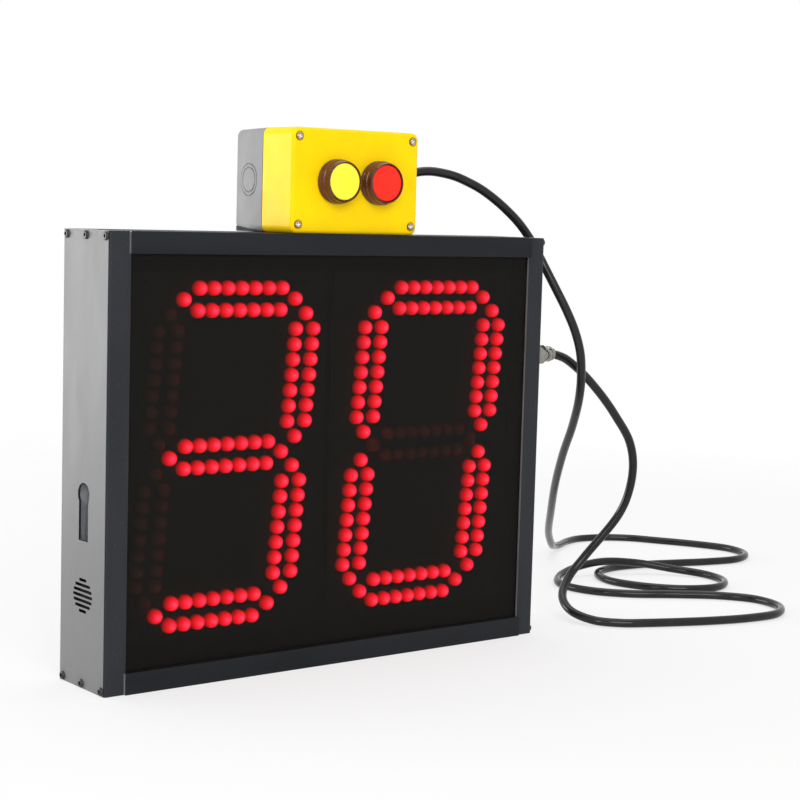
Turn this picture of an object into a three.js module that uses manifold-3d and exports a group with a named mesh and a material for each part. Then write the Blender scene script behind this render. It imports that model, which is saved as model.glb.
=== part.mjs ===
// Table-top shot clock: a two-digit LED cabinet with its two-button control box standing on top,
// and the cable that joins them lying in loose loops beside it.
// Millimetres. X runs along the cabinet, Y from the window to the back, Z up from the table.

import * as THREE from 'three';
import { mergeVertices } from 'three/addons/utils/BufferGeometryUtils.js';
import Module from 'manifold-3d';

const wasm = await Module();
wasm.setup();

// Cabinet
const cabinetWidth = 348;
const cabinetHeight = 284;
const cabinetDepth = 57;
const sheet = 1.5;
const flangeWidth = 14.6;
const bendRadius = 1.2;
const innerBend = 0.4;
const seam = 0.3;
const overrun = 4;

// Top and bottom profiles, one extrusion turned over
const barHeight = 13.6;
const barProud = 1.8;
const profileWall = 1.8;
const ribDepth = 6;
const portHeight = 6.2;
const portWidth = 5.6;
const lipReturn = 1.5;

// Window
const windowThickness = 3;
const windowSideGap = 0.8;
const retainerDepth = 10;

// Screws through the end plates and the back cover
const screwHead = { radius: 2.7, height: 1.9, crown: 1.2 };
const screwShank = { radius: 1.1, length: 9 };
const screwHole = 1.4;
const frontScrewInset = 3.6;
const rearScrewInset = 4.2;
const endScrewDrop = 3.2;
const coverScrewDrop = 8.6;
const coverScrewSide = 20;
const coverScrewLength = 4.5;

// Keyhole and its pocket, left end plate
const keyhole = { centreZ: 121.4, radius: 7.3, slotWidth: 11.6, bottomZ: 92.5 };
const pocket = { depth: 7, margin: 5, wall: 1 };

// Sounder and its slits, left end plate
const sounder = { centreZ: 58.3, radius: 14, depth: 20, rim: 2.2, magnetRadius: 9.5, coneDepth: 6 };
const sounderRing = { radius: 13.4, inner: 11.6, thickness: 1.4 };
const grille = { radius: 11.3, slits: 7, slitHeight: 1.9, pitch: 3.25 };

// Boards, one for each digit
const board = { gap: 4.9, sideGap: 16.05, foot: 26, thickness: 1.6 };
const boardWidth = (cabinetWidth - board.gap) / 2 - sheet - board.sideGap;
const boardHeight = cabinetHeight - 2 * board.foot;

// Digits: two rows of seven LEDs and one LED at each end make a segment
const ledsInRow = 7;
const rowOffsetAcross = 7;
const rowOffsetUp = 6.9;
const segmentInset = { side: 25.6, top: 17 };
const cornerGap = { across: 9.6, up: 9.5 };
const endGap = { across: 10.9, up: 10 };
const segmentX = boardWidth / 2 - segmentInset.side;
const segmentZ = boardHeight / 2 - segmentInset.top;
const endLedAcross = segmentX - cornerGap.across;
const endLedUp = segmentZ / 2 - cornerGap.up;
const ledPitchAcross = (2 * (endLedAcross - endGap.across)) / (ledsInRow - 1);
const ledPitchUp = (2 * (endLedUp - endGap.up)) / (ledsInRow - 1);
const slantShare = 0.0874;
const digitSpacing = boardWidth + board.gap;
const digitsShift = -3;
const digitsRise = 1;
const led = { radius: 2.5, length: 7, shoulder: 1.9, sides: 6 };
const windowToLed = 0.5;

// Chassis plate and its pins
const chassisGap = 4.3;
const chassisSide = 12;
const chassisSheet = 1.5;
const pin = { spacerRadius: 3, neckRadius: 1.3, headRadius: 1.7, headLength: 1.2, hole: 1.6 };
const pinInset = { side: 18, top: 6, driver: 6 };
const wireWindow = { width: 34, height: 56, radius: 6 };

// Control board
const driver = { sideGap: 16.5, z: 176, width: 96, height: 110, thickness: 1.6, standOff: 5 };
const driverParts = { gap: 6, chipDepth: 3, sinkDepth: 14, fin: 2, connectorDepth: 9 };

// Battery of two rows of cells, and its strap
const cell = { radius: 7.2, length: 50, columns: 5, rows: 2 };
const battery = { sideGap: 46.5, z: 74, standOff: 0.4 };
const strap = { width: 16, thickness: 1.2, foot: 12, slack: 0.4 };

// Cable and its gland on the right end plate
const cableRadius = 3.2;
const gland = { y: 15, z: 200.4, hexFlats: 14, flange: 4, threadRadius: 6, inside: 8, bore: 3.7 };
const glandNut = { length: 19.5, hexLength: 11, mouth: 4.6, wallSeat: 6.3 };
const glandGap = 0.3;
const lockNut = { flats: 15, thickness: 3 };
const sealRing = { length: 6, outer: 4.9 };

// Control box
const box = { width: 102, height: 68, coverDepth: 34, baseDepth: 34.5, wall: 2.5 };
const boxSetback = 4.5;
const boxShift = 10.6;
const boxCorner = 5;
const frontRound = 1.8;
const baseTaper = 2;
const backRound = 2.4;
const gasket = { thickness: 0.9, inset: 1 };
const post = { size: 9, hole: 1.7, recessRadius: 2.9, recessDepth: 0.9, insetX: 5.2, insetZ: 5.8 };
const boxScrew = { headRadius: 2.5, headHeight: 1.6, shankRadius: 1.4, length: 40 };
const knockout = { radius: 11, groove: 1, inner: 8.6, depth: 0.6 };
const grommet = { neck: 6.2, flangeRadius: 9, flange: 2, outside: 7, insideLength: 2.5, tipRadius: 5.2 };

// Push-buttons
const buttonSpacing = 34.2;
const bezel = { radius: 14.5, ringRadius: 13.7, length: 11.6, wall: 1.5, barrel: 10.8, reach: 13 };
const bezelGroove = { depth: 0.7, width: 2.2, at: 3.6 };
const cap = { recess: 0.5, skirt: 7, fit: 0.4, stem: 4, crown: 0.5 };
const buttonTravel = 4;
const panelHole = 11.2;
const ringNut = { radius: 14.2, thickness: 4.5 };
const contact = { width: 29, height: 42, well: 4.7, wellDepth: 6, backGap: 3 };

// Colours
const charcoal = 0x2b2d30;
const smoked = 0x1c1616;
const ledRed = 0xff2338;
const boardGreen = 0x1e4a2c;
const sleeveBlue = 0x2f62b5;
const zinc = 0x9a9da0;
const nickel = 0xc6c3bb;
const rubberBlack = 0x17171a;
const coverYellow = 0xf7cf0c;
const baseGrey = 0xa9a9ab;
const capYellow = 0xfff02c;
const capRed = 0xf0281e;

const roundSides = 20;
const smallSides = 8;
const arcSteps = 3;

// The button rings reach furthest forward and the control box furthest back
const boxDepth = box.coverDepth + box.baseDepth + gasket.thickness;
const reachForward = Math.max(barProud, bezel.length - boxSetback);
const reachBack = Math.max(cabinetDepth + screwHead.height, boxSetback + boxDepth);
const frontY = (reachForward - reachBack) / 2;
const backY = frontY + cabinetDepth;
const sideX = cabinetWidth / 2;
const innerX = sideX - sheet;

// Depths from the window inwards
const windowFront = frontY + sheet + seam;
const windowBack = windowFront + windowThickness;
const ledTip = windowBack + windowToLed;
const boardFront = ledTip + led.length;
const boardBack = boardFront + board.thickness;
const chassisFront = boardBack + chassisGap;
const chassisBack = chassisFront + chassisSheet;

// Places across the chassis plate, from its ends
const chassisHalf = innerX - chassisSide;
const driverX = chassisHalf - driver.sideGap - driver.width / 2;
const batteryX = battery.sideGap + cell.radius * cell.columns - chassisHalf;

const group = new THREE.Group();

// One closed indexed body: position only, shared corners merged, no slivers where a profile meets its axis
function closed(geometry) {
  const loose = geometry.index ? geometry.toNonIndexed() : geometry.clone();
  loose.deleteAttribute('normal');
  loose.deleteAttribute('uv');
  const merged = mergeVertices(loose);
  const old = merged.index.array;
  const kept = [];
  for (let i = 0; i < old.length; i += 3) {
    const [a, b, c] = [old[i], old[i + 1], old[i + 2]];
    if (a !== b && b !== c && c !== a) kept.push(a, b, c);
  }
  if (signedVolume(merged.attributes.position, kept) < 0) kept.reverse();
  merged.setIndex(kept);
  return merged;
}

function signedVolume(position, index) {
  const [a, b, c] = [new THREE.Vector3(), new THREE.Vector3(), new THREE.Vector3()];
  let sum = 0;
  for (let i = 0; i < index.length; i += 3) {
    a.fromBufferAttribute(position, index[i]);
    b.fromBufferAttribute(position, index[i + 1]);
    c.fromBufferAttribute(position, index[i + 2]);
    sum += a.dot(b.cross(c));
  }
  return sum / 6;
}

function solid(geometry) {
  const body = closed(geometry);
  const vertProperties = new Float32Array(body.attributes.position.array);
  const triVerts = new Uint32Array(body.index.array);
  return new wasm.Manifold(new wasm.Mesh({ numProp: 3, vertProperties, triVerts }));
}

function toGeometry(manifold) {
  const mesh = manifold.getMesh();
  const geometry = new THREE.BufferGeometry();
  geometry.setAttribute('position', new THREE.BufferAttribute(mesh.vertProperties, 3));
  geometry.setIndex(new THREE.BufferAttribute(mesh.triVerts, 1));
  return geometry;
}

function cut(geometry, tools) {
  let body = solid(geometry);
  for (const tool of tools) body = body.subtract(solid(tool));
  return toGeometry(body);
}

function join(geometries) {
  let body = solid(geometries[0]);
  for (const more of geometries.slice(1)) body = body.add(solid(more));
  return toGeometry(body);
}

function add(name, geometry, color, roughness = 0.6, metalness = 0) {
  const body = geometry.index ? geometry : closed(geometry);
  const material = new THREE.MeshStandardMaterial({ color, roughness, metalness });
  const mesh = new THREE.Mesh(body, material);
  mesh.name = name;
  group.add(mesh);
  return mesh;
}

// Extrusions along each axis from a drawn section
const axisX = new THREE.Vector3(1, 0, 0);
const axisY = new THREE.Vector3(0, 1, 0);
const axisZ = new THREE.Vector3(0, 0, 1);
const sectionAlongX = new THREE.Matrix4().makeBasis(axisY, axisZ, axisX);
const sectionAlongY = new THREE.Matrix4().makeBasis(axisX, axisZ, axisY.clone().negate());

function extrude(shape, depth, curveSegments = arcSteps) {
  return new THREE.ExtrudeGeometry(shape, { depth, bevelEnabled: false, curveSegments });
}

// A section drawn in (y, z), running from x0 to x1
function alongX(shape, x0, x1, curveSegments) {
  return closed(extrude(shape, x1 - x0, curveSegments).applyMatrix4(sectionAlongX)).translate(x0, 0, 0);
}

// A section drawn in (x, z), running from y0 to y1
function alongY(shape, y0, y1, curveSegments) {
  return closed(extrude(shape, y1 - y0, curveSegments).applyMatrix4(sectionAlongY)).translate(0, y1, 0);
}

function block(x0, x1, y0, y1, z0, z1) {
  const geometry = new THREE.BoxGeometry(x1 - x0, y1 - y0, z1 - z0);
  return geometry.translate((x0 + x1) / 2, (y0 + y1) / 2, (z0 + z1) / 2);
}

// Drawn anticlockwise whichever way its points were listed, so that holes in it come out right
function polygon(points) {
  const corners = points.map(([a, b]) => new THREE.Vector2(a, b));
  if (THREE.ShapeUtils.isClockWise(corners)) corners.reverse();
  return new THREE.Shape(corners);
}

function roundedRectangle(width, height, radius, cx = 0, cy = 0) {
  const [w, h] = [width / 2, height / 2];
  const shape = new THREE.Shape();
  shape.moveTo(cx - w + radius, cy - h);
  shape.lineTo(cx + w - radius, cy - h);
  shape.absarc(cx + w - radius, cy - h + radius, radius, -Math.PI / 2, 0);
  shape.lineTo(cx + w, cy + h - radius);
  shape.absarc(cx + w - radius, cy + h - radius, radius, 0, Math.PI / 2);
  shape.lineTo(cx - w + radius, cy + h);
  shape.absarc(cx - w + radius, cy + h - radius, radius, Math.PI / 2, Math.PI);
  shape.lineTo(cx - w, cy - h + radius);
  shape.absarc(cx - w + radius, cy - h + radius, radius, Math.PI, Math.PI * 1.5);
  return shape;
}

function circle(cx, cy, radius) {
  const path = new THREE.Path();
  path.absarc(cx, cy, radius, 0, Math.PI * 2, true);
  return path;
}

function hexagon(acrossFlats) {
  const radius = acrossFlats / 2 / Math.cos(Math.PI / 6);
  const corners = [];
  for (let k = 0; k < 6; k += 1) {
    const angle = (k * Math.PI) / 3;
    corners.push([radius * Math.cos(angle), radius * Math.sin(angle)]);
  }
  return polygon(corners);
}

// A turned piece: (radius, height) points revolved, its axis then laid along +X, +Y or -Y
function turned(profile, sides = roundSides) {
  const points = profile.map(([r, h]) => new THREE.Vector2(r, h));
  return closed(new THREE.LatheGeometry(points, sides));
}

function turnedX(profile, sides) {
  return turned(profile, sides).rotateZ(-Math.PI / 2);
}

function turnedFront(profile, sides) {
  return turned(profile, sides).rotateZ(Math.PI);
}

function rod(radius, length, sides = smallSides) {
  return [[0, 0], [radius, 0], [radius, length], [0, length]];
}

// A ring's profile closes on itself
function tube(inner, outer, length) {
  return [[inner, 0], [outer, 0], [outer, length], [inner, length], [inner, 0]];
}

// End plates: a folded side and front flange
function endPlate(side) {
  const x = side * sideX;
  const inwards = -side;
  const shape = new THREE.Shape();
  shape.moveTo(x, backY);
  shape.lineTo(x, frontY + bendRadius);
  shape.quadraticCurveTo(x, frontY, x + inwards * bendRadius, frontY);
  shape.lineTo(x + inwards * flangeWidth, frontY);
  shape.lineTo(x + inwards * flangeWidth, frontY + sheet);
  shape.lineTo(x + inwards * (sheet + innerBend), frontY + sheet);
  shape.lineTo(x + inwards * sheet, frontY + sheet + innerBend);
  shape.lineTo(x + inwards * sheet, backY);
  return closed(extrude(shape, cabinetHeight));
}

function endScrewPlaces() {
  const places = [];
  for (const z of [cabinetHeight - endScrewDrop, endScrewDrop]) {
    for (const y of [frontY + frontScrewInset, (frontY + backY) / 2, backY - rearScrewInset]) {
      places.push([y, z]);
    }
  }
  return places;
}

function endScrewHoles(side) {
  return endScrewPlaces().map(([y, z]) => {
    const hole = turnedX(rod(screwHole, sheet + 2 * overrun), smallSides);
    return hole.translate(side * (sideX - sheet / 2) - sheet / 2 - overrun, y, z);
  });
}

const middleY = (frontY + backY) / 2;

function keyholeShape(grow = 0) {
  const radius = keyhole.radius + grow;
  const half = keyhole.slotWidth / 2 + grow;
  const start = Math.asin(half / radius);
  const shape = new THREE.Shape();
  shape.moveTo(middleY - half, keyhole.bottomZ - grow);
  shape.lineTo(middleY + half, keyhole.bottomZ - grow);
  shape.absarc(middleY, keyhole.centreZ, radius, start - Math.PI / 2, Math.PI * 1.5 - start);
  return shape;
}

function grilleSlits() {
  const slits = [];
  for (let k = 0; k < grille.slits; k += 1) {
    const rise = (k - (grille.slits - 1) / 2) * grille.pitch;
    const reach = Math.abs(rise) + grille.slitHeight / 2;
    const half = Math.sqrt(grille.radius ** 2 - reach ** 2) + grille.slitHeight / 2;
    const z = sounder.centreZ + rise;
    const round = grille.slitHeight / 2 - grille.slitHeight / 20;
    const slit = roundedRectangle(2 * half, grille.slitHeight, round, middleY, z);
    slits.push(alongX(slit, -sideX - overrun, -innerX + overrun, 2));
  }
  return slits;
}

function leftEndPlate() {
  const key = alongX(keyholeShape(), -sideX - overrun, -innerX + overrun, smallSides);
  return cut(endPlate(-1), [key, ...grilleSlits(), ...endScrewHoles(-1)]);
}

function rightEndPlate() {
  const hole = turnedX(rod(gland.threadRadius + seam, sheet + 2 * overrun));
  hole.translate(innerX - overrun, frontY + gland.y, gland.z);
  return cut(endPlate(1), [hole, ...endScrewHoles(1)]);
}

add('left_end_plate', leftEndPlate(), charcoal, 0.75, 0.2);
add('right_end_plate', rightEndPlate(), charcoal, 0.75, 0.2);

// Profile section in (y, depth below the outer skin), drawn for the top one
function profileShape(up) {
  const y = (value) => frontY + value;
  const z = (value) => (up ? cabinetHeight - value : value);
  const rearLip = cabinetDepth - sheet - seam;
  const retainer = windowBack + seam - frontY;
  const grooveFront = chassisFront - seam - frontY;
  const grooveBack = chassisBack + seam - frontY;
  const half = portWidth / 2;
  const middle = cabinetDepth / 2;
  const rearPort = cabinetDepth - rearScrewInset - half;
  const shape = polygon([
    [y(-barProud), z(0)],
    [y(cabinetDepth), z(0)],
    [y(cabinetDepth), z(profileWall)],
    [y(rearLip), z(profileWall)],
    [y(rearLip), z(barHeight)],
    [y(rearLip - profileWall), z(barHeight)],
    [y(rearLip - profileWall), z(portHeight)],
    [y(rearPort), z(portHeight)],
    [y(rearPort), z(profileWall)],
    [y(middle + half), z(profileWall)],
    [y(middle + half), z(portHeight)],
    [y(middle - half), z(portHeight)],
    [y(middle - half), z(profileWall)],
    [y(grooveBack + sheet), z(profileWall)],
    [y(grooveBack + sheet), z(ribDepth)],
    [y(grooveBack), z(ribDepth)],
    [y(grooveBack), z(profileWall)],
    [y(grooveFront), z(profileWall)],
    [y(grooveFront), z(ribDepth)],
    [y(grooveFront - sheet), z(ribDepth)],
    [y(grooveFront - sheet), z(profileWall)],
    [y(retainer + sheet), z(profileWall)],
    [y(retainer + sheet), z(retainerDepth)],
    [y(retainer), z(retainerDepth)],
    [y(retainer), z(portHeight)],
    [y(0), z(portHeight)],
    [y(0), z(barHeight - lipReturn)],
    [y(lipReturn), z(barHeight - lipReturn)],
    [y(lipReturn), z(barHeight)],
    [y(-barProud), z(barHeight)],
  ]);
  for (const [portY, portZ] of endScrewPlaces()) {
    if (portZ > cabinetHeight / 2 === up) shape.holes.push(circle(portY, portZ, screwHole));
  }
  return shape;
}

function coverScrewPlaces() {
  const places = [];
  for (const z of [cabinetHeight - coverScrewDrop, coverScrewDrop]) {
    for (const x of [-innerX + coverScrewSide, innerX - coverScrewSide]) places.push([x, z]);
  }
  return places;
}

function coverScrewHole([x, z]) {
  const hole = turned(rod(screwHole, cabinetDepth - chassisBack + frontY), smallSides);
  return hole.translate(x, backY - coverScrewLength, z);
}

function profile(up) {
  const end = innerX - seam;
  const notchX = sideX - flangeWidth - seam;
  const notchBack = frontY + sheet + seam;
  const notches = [-1, 1].map((side) => {
    const x = side * notchX;
    const out = side * (sideX + overrun);
    const front = frontY - barProud - overrun;
    return block(Math.min(x, out), Math.max(x, out), front, notchBack, -overrun, cabinetHeight + overrun);
  });
  const body = alongX(profileShape(up), -end, end, 3);
  const holes = coverScrewPlaces().filter(([, z]) => z > cabinetHeight / 2 === up).map(coverScrewHole);
  return cut(body, [...notches, ...holes]);
}

add('top_profile', profile(true), charcoal, 0.7, 0.2);
add('bottom_profile', profile(false), charcoal, 0.7, 0.2);

// Smoked window, held between the flanges and the profiles' retaining ribs
const windowHalf = innerX - windowSideGap;
const windowBottom = portHeight + seam;
const windowTop = cabinetHeight - portHeight - seam;
add(
  'front_window',
  block(-windowHalf, windowHalf, windowFront, windowBack, windowBottom, windowTop),
  smoked,
  0.12,
);

// Back cover
function backCover() {
  const half = innerX - seam;
  const edge = profileWall + seam;
  const plate = block(-half, half, backY - sheet, backY, edge, cabinetHeight - edge);
  return cut(plate, coverScrewPlaces().map(coverScrewHole));
}

add('back_cover', backCover(), charcoal, 0.75, 0.2);

// Pan-head screws
function panScrew(length) {
  const { radius, height, crown } = screwHead;
  return [
    [0, -length],
    [screwShank.radius, -length],
    [screwShank.radius, 0],
    [radius, 0],
    [radius, height - crown],
    [radius - crown, height],
    [0, height],
  ];
}

for (const [side, word] of [[-1, 'left'], [1, 'right']]) {
  endScrewPlaces().forEach(([y, z], k) => {
    const screw = turned(panScrew(screwShank.length), smallSides).rotateZ((-side * Math.PI) / 2);
    screw.translate(side * (sideX + seam / 3), y, z);
    add(`${word}_end_screw_${k + 1}`, screw, rubberBlack, 0.4, 0.6);
  });
}

coverScrewPlaces().forEach(([x, z], k) => {
  const screw = turned(panScrew(coverScrewLength), smallSides).translate(x, backY + seam / 3, z);
  add(`back_cover_screw_${k + 1}`, screw, rubberBlack, 0.4, 0.6);
});

// Pocket behind the keyhole
function keyholePocket() {
  const width = 2 * (keyhole.radius + pocket.margin);
  const top = keyhole.centreZ + keyhole.radius + pocket.margin;
  const bottom = keyhole.bottomZ - pocket.margin;
  const z = (top + bottom) / 2;
  const outer = roundedRectangle(width, top - bottom, pocket.margin / 2, middleY, z);
  const inside = [width - 2 * pocket.wall, top - bottom - 2 * pocket.wall];
  const inner = roundedRectangle(...inside, pocket.margin / 3, middleY, z);
  const near = -innerX + seam;
  const hollow = alongX(inner, near - overrun, near + pocket.depth - pocket.wall);
  return cut(alongX(outer, near, near + pocket.depth), [hollow]);
}

add('keyhole_pocket', keyholePocket(), zinc, 0.5, 0.7);

// Sounder behind the slits: a foam ring, then the frame with its cone and magnet
function sounderBody() {
  const { radius, rim, magnetRadius, depth, coneDepth } = sounder;
  return turnedX([
    [0, coneDepth],
    [magnetRadius / 2, coneDepth],
    [sounderRing.inner, rim / 2],
    [sounderRing.inner, 0],
    [radius, 0],
    [radius, rim],
    [magnetRadius + rim, depth - coneDepth],
    [magnetRadius, depth - coneDepth],
    [magnetRadius, depth],
    [0, depth],
  ]);
}

const ringX = -innerX + seam;
const ringTube = turnedX(tube(sounderRing.inner, sounderRing.radius, sounderRing.thickness));
add('sounder_ring', ringTube.translate(ringX, middleY, sounder.centreZ), rubberBlack, 0.95);
const sounderX = ringX + sounderRing.thickness + seam;
add('sounder', sounderBody().translate(sounderX, middleY, sounder.centreZ), zinc, 0.5, 0.6);

// LED places of one digit, about its centre, slanted like the digits
function segmentAcross(cx, cz) {
  const places = [[cx - endLedAcross, cz], [cx + endLedAcross, cz]];
  for (const row of [-1, 1]) {
    for (let k = 0; k < ledsInRow; k += 1) {
      places.push([cx + (k - (ledsInRow - 1) / 2) * ledPitchAcross, cz + row * rowOffsetAcross]);
    }
  }
  return places;
}

function segmentUp(cx, cz) {
  const places = [[cx, cz - endLedUp], [cx, cz + endLedUp]];
  for (const row of [-1, 1]) {
    for (let k = 0; k < ledsInRow; k += 1) {
      places.push([cx + row * rowOffsetUp, cz + (k - (ledsInRow - 1) / 2) * ledPitchUp]);
    }
  }
  return places;
}

function digitPlaces() {
  const places = [segmentZ, 0, -segmentZ].flatMap((z) => segmentAcross(0, z));
  for (const x of [-segmentX, segmentX]) {
    for (const z of [-segmentZ / 2, segmentZ / 2]) places.push(...segmentUp(x, z));
  }
  return places.map(([x, z]) => [x + z * slantShare, z]);
}

function pinPlaces(width, height, sideInset = pinInset.side) {
  const [x, z] = [width / 2 - sideInset, height / 2 - pinInset.top];
  return [[-x, -z], [x, -z], [-x, z], [x, z]];
}

function pinHole(x, z, y0, y1) {
  return turned(rod(pin.hole, y1 - y0 + 2 * overrun), smallSides).translate(x, y0 - overrun, z);
}

function ledBoard(cx, cz) {
  const half = [boardWidth / 2, boardHeight / 2];
  const plate = block(cx - half[0], cx + half[0], boardFront, boardBack, cz - half[1], cz + half[1]);
  const lens = turnedFront(
    [
      [0, -board.thickness / 2],
      [led.radius, -board.thickness / 2],
      [led.radius, led.length - led.shoulder],
      [0, led.length],
    ],
    led.sides,
  );
  let body = solid(plate);
  for (const [x, z] of digitPlaces()) {
    body = body.add(solid(lens.clone().translate(cx + x, boardFront, cz + z)));
  }
  for (const [x, z] of pinPlaces(boardWidth, boardHeight)) {
    body = body.subtract(solid(pinHole(cx + x, cz + z, boardFront, boardBack)));
  }
  return toGeometry(body);
}

const digitZ = cabinetHeight / 2 + digitsRise;
const leftDigitX = digitsShift - digitSpacing / 2;
const rightDigitX = digitsShift + digitSpacing / 2;
add('led_board_left', ledBoard(leftDigitX, digitZ), ledRed, 0.35);
add('led_board_right', ledBoard(rightDigitX, digitZ), ledRed, 0.35);

// A pressed-in pin: spacer, neck through the board and a snap head beyond it
function boardPin(sign, x, z, faceY, spacer, thickness) {
  const neckEnd = spacer + seam + thickness + seam;
  const shape = turned(
    [
      [0, -chassisSheet / 2],
      [pin.spacerRadius, -chassisSheet / 2],
      [pin.spacerRadius, spacer],
      [pin.neckRadius, spacer],
      [pin.neckRadius, neckEnd],
      [pin.headRadius, neckEnd],
      [pin.neckRadius, neckEnd + pin.headLength],
      [0, neckEnd + pin.headLength],
    ],
    6,
  );
  if (sign < 0) shape.rotateZ(Math.PI);
  return shape.translate(x, faceY, z);
}

function chassisPlate() {
  const edge = profileWall + seam;
  const plate = block(-chassisHalf, chassisHalf, chassisFront, chassisBack, edge, cabinetHeight - edge);
  const hollowX = sounderX + sounder.depth + chassisSide / 3;
  const sounderHalf = sounder.radius + chassisSide / 3;
  const tools = [
    block(-sideX, hollowX, chassisFront - overrun, chassisBack + overrun,
      sounder.centreZ - sounderHalf, sounder.centreZ + sounderHalf),
  ];
  for (const x of [leftDigitX, rightDigitX]) {
    const { width, height, radius } = wireWindow;
    const opening = roundedRectangle(width, height, radius, x, digitZ / 2 + digitZ);
    tools.push(alongY(opening, chassisFront - overrun, chassisBack + overrun));
  }
  const pins = [];
  for (const cx of [leftDigitX, rightDigitX]) {
    for (const [x, z] of pinPlaces(boardWidth, boardHeight)) {
      pins.push(boardPin(-1, cx + x, digitZ + z, chassisFront, chassisGap - seam, board.thickness));
    }
  }
  const driverSpacer = driver.standOff - seam;
  for (const [x, z] of pinPlaces(driver.width, driver.height, pinInset.driver)) {
    pins.push(boardPin(1, driverX + x, driver.z + z, chassisBack, driverSpacer, driver.thickness));
  }
  return join([cut(plate, tools), ...pins]);
}

add('chassis_plate', chassisPlate(), zinc, 0.45, 0.7);

// Control board with its heat sink, chips, relay and connectors
function driverBoard() {
  const y0 = chassisBack + driver.standOff;
  const y1 = y0 + driver.thickness;
  const [left, right] = [driverX - driver.width / 2, driverX + driver.width / 2];
  const [low, high] = [driver.z - driver.height / 2, driver.z + driver.height / 2];
  const root = y1 - driver.thickness / 2;
  const { gap, chipDepth, sinkDepth, fin, connectorDepth } = driverParts;
  const pieces = [block(left, right, y0, y1, low, high)];
  const sinkLeft = left + 3 * gap;
  const sinkRight = right - 3 * gap;
  const sinkLow = high - 6 * gap;
  pieces.push(block(sinkLeft, sinkRight, root, y1 + fin, sinkLow, high - 2 * gap));
  for (let x = sinkLeft; x + fin <= sinkRight; x += 4 * fin) {
    pieces.push(block(x, x + fin, root, y1 + sinkDepth, sinkLow, high - 2 * gap));
  }
  for (const k of [0, 1, 2]) {
    const x = sinkLeft + k * 3.4 * gap;
    pieces.push(block(x, x + 2.6 * gap, root, y1 + chipDepth, sinkLow - 3 * gap, sinkLow - 2 * gap));
  }
  const plugLow = low + 2.4 * gap;
  pieces.push(block(sinkLeft, sinkLeft + 3 * gap, root, y1 + sinkDepth, plugLow, low + 5 * gap));
  pieces.push(block(sinkLeft + 4 * gap, sinkRight, root, y1 + connectorDepth, plugLow, low + 3.6 * gap));
  const places = pinPlaces(driver.width, driver.height, pinInset.driver);
  const holes = places.map(([x, z]) => pinHole(driverX + x, driver.z + z, y0, y1));
  return cut(join(pieces), holes);
}

add('control_board', driverBoard(), boardGreen, 0.5);

// Battery: standing cells side by side in one sleeve
const batteryFront = chassisBack + battery.standOff;

function batteryShape() {
  const { radius, columns, rows } = cell;
  const width = 2 * radius * columns;
  const depth = 2 * radius * rows;
  const shape = new THREE.Shape();
  const left = batteryX - width / 2;
  shape.moveTo(left, batteryFront + radius);
  for (let k = 0; k < columns; k += 1) {
    const x = left + radius * (2 * k + 1);
    const end = Math.PI * (k < columns - 1 ? 1.75 : 2);
    shape.absarc(x, batteryFront + radius, radius, Math.PI * (k ? 1.25 : 1), end);
  }
  shape.lineTo(left + width, batteryFront + depth - radius);
  for (let k = columns - 1; k >= 0; k -= 1) {
    const x = left + radius * (2 * k + 1);
    const start = Math.PI * (k < columns - 1 ? 0.25 : 0);
    shape.absarc(x, batteryFront + depth - radius, radius, start, Math.PI * (k ? 0.75 : 1));
  }
  return shape;
}

const batteryFoot = battery.z - cell.length / 2;
const batteryBody = closed(extrude(batteryShape(), cell.length, 5)).translate(0, 0, batteryFoot);
add('battery_pack', batteryBody, sleeveBlue, 0.4);

function batteryStrap() {
  const half = cell.radius * cell.columns + strap.slack;
  const top = batteryFront + 2 * cell.radius * cell.rows + strap.slack;
  const t = strap.thickness;
  const y0 = chassisBack + seam;
  const shape = polygon([
    [-half - t - strap.foot, y0],
    [-half, y0],
    [-half, top],
    [half, top],
    [half, y0],
    [half + t + strap.foot, y0],
    [half + t + strap.foot, y0 + t],
    [half + t, y0 + t],
    [half + t, top + t],
    [-half - t, top + t],
    [-half - t, y0 + t],
    [-half - t - strap.foot, y0 + t],
  ]);
  return closed(extrude(shape, strap.width)).translate(batteryX, 0, battery.z - strap.width / 2);
}

add('battery_strap', batteryStrap(), zinc, 0.45, 0.7);

// Cable gland: body through the plate, lock nut inside, seal and dome nut outside
const glandY = frontY + gland.y;
const glandFace = sideX + seam / 3;

function hexAlongX(flats, x0, x1) {
  return alongX(hexagon(flats), x0, x1);
}

function glandBody() {
  const outer = turnedX([
    [0, -sheet - gland.inside],
    [gland.threadRadius, -sheet - gland.inside],
    [gland.threadRadius, gland.flange + glandNut.hexLength / 2],
    [0, gland.flange + glandNut.hexLength / 2],
  ]);
  const bore = turnedX(rod(gland.bore, 3 * glandNut.length)).translate(-glandNut.length, 0, 0);
  const body = join([outer, hexAlongX(gland.hexFlats, 0, gland.flange)]);
  return cut(body, [bore]).translate(glandFace, glandY, gland.z);
}

function domeNut() {
  const { length, hexLength, mouth, wallSeat } = glandNut;
  const radius = gland.hexFlats / 2;
  const dome = turnedX([
    [0, 0],
    [radius, 0],
    [radius, hexLength],
    [radius - radius / 8, hexLength + length / 6],
    [mouth + radius / 10, length],
    [0, length],
  ]);
  const thread = turnedX(rod(wallSeat, hexLength / 2 + 2 * seam)).translate(-seam, 0, 0);
  const seatRod = rod(sealRing.outer + seam, sealRing.length + 2 * seam);
  const seat = turnedX(seatRod).translate(hexLength / 2, 0, 0);
  const bore = turnedX(rod(gland.bore, 3 * length)).translate(-length, 0, 0);
  const body = join([dome, hexAlongX(gland.hexFlats, 0, hexLength)]);
  return cut(body, [thread, seat, bore]);
}

function lockNutBody() {
  const bore = turnedX(rod(gland.threadRadius + seam, 3 * lockNut.thickness));
  bore.translate(-lockNut.thickness, 0, 0);
  return cut(hexAlongX(lockNut.flats, 0, lockNut.thickness), [bore]);
}

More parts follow.
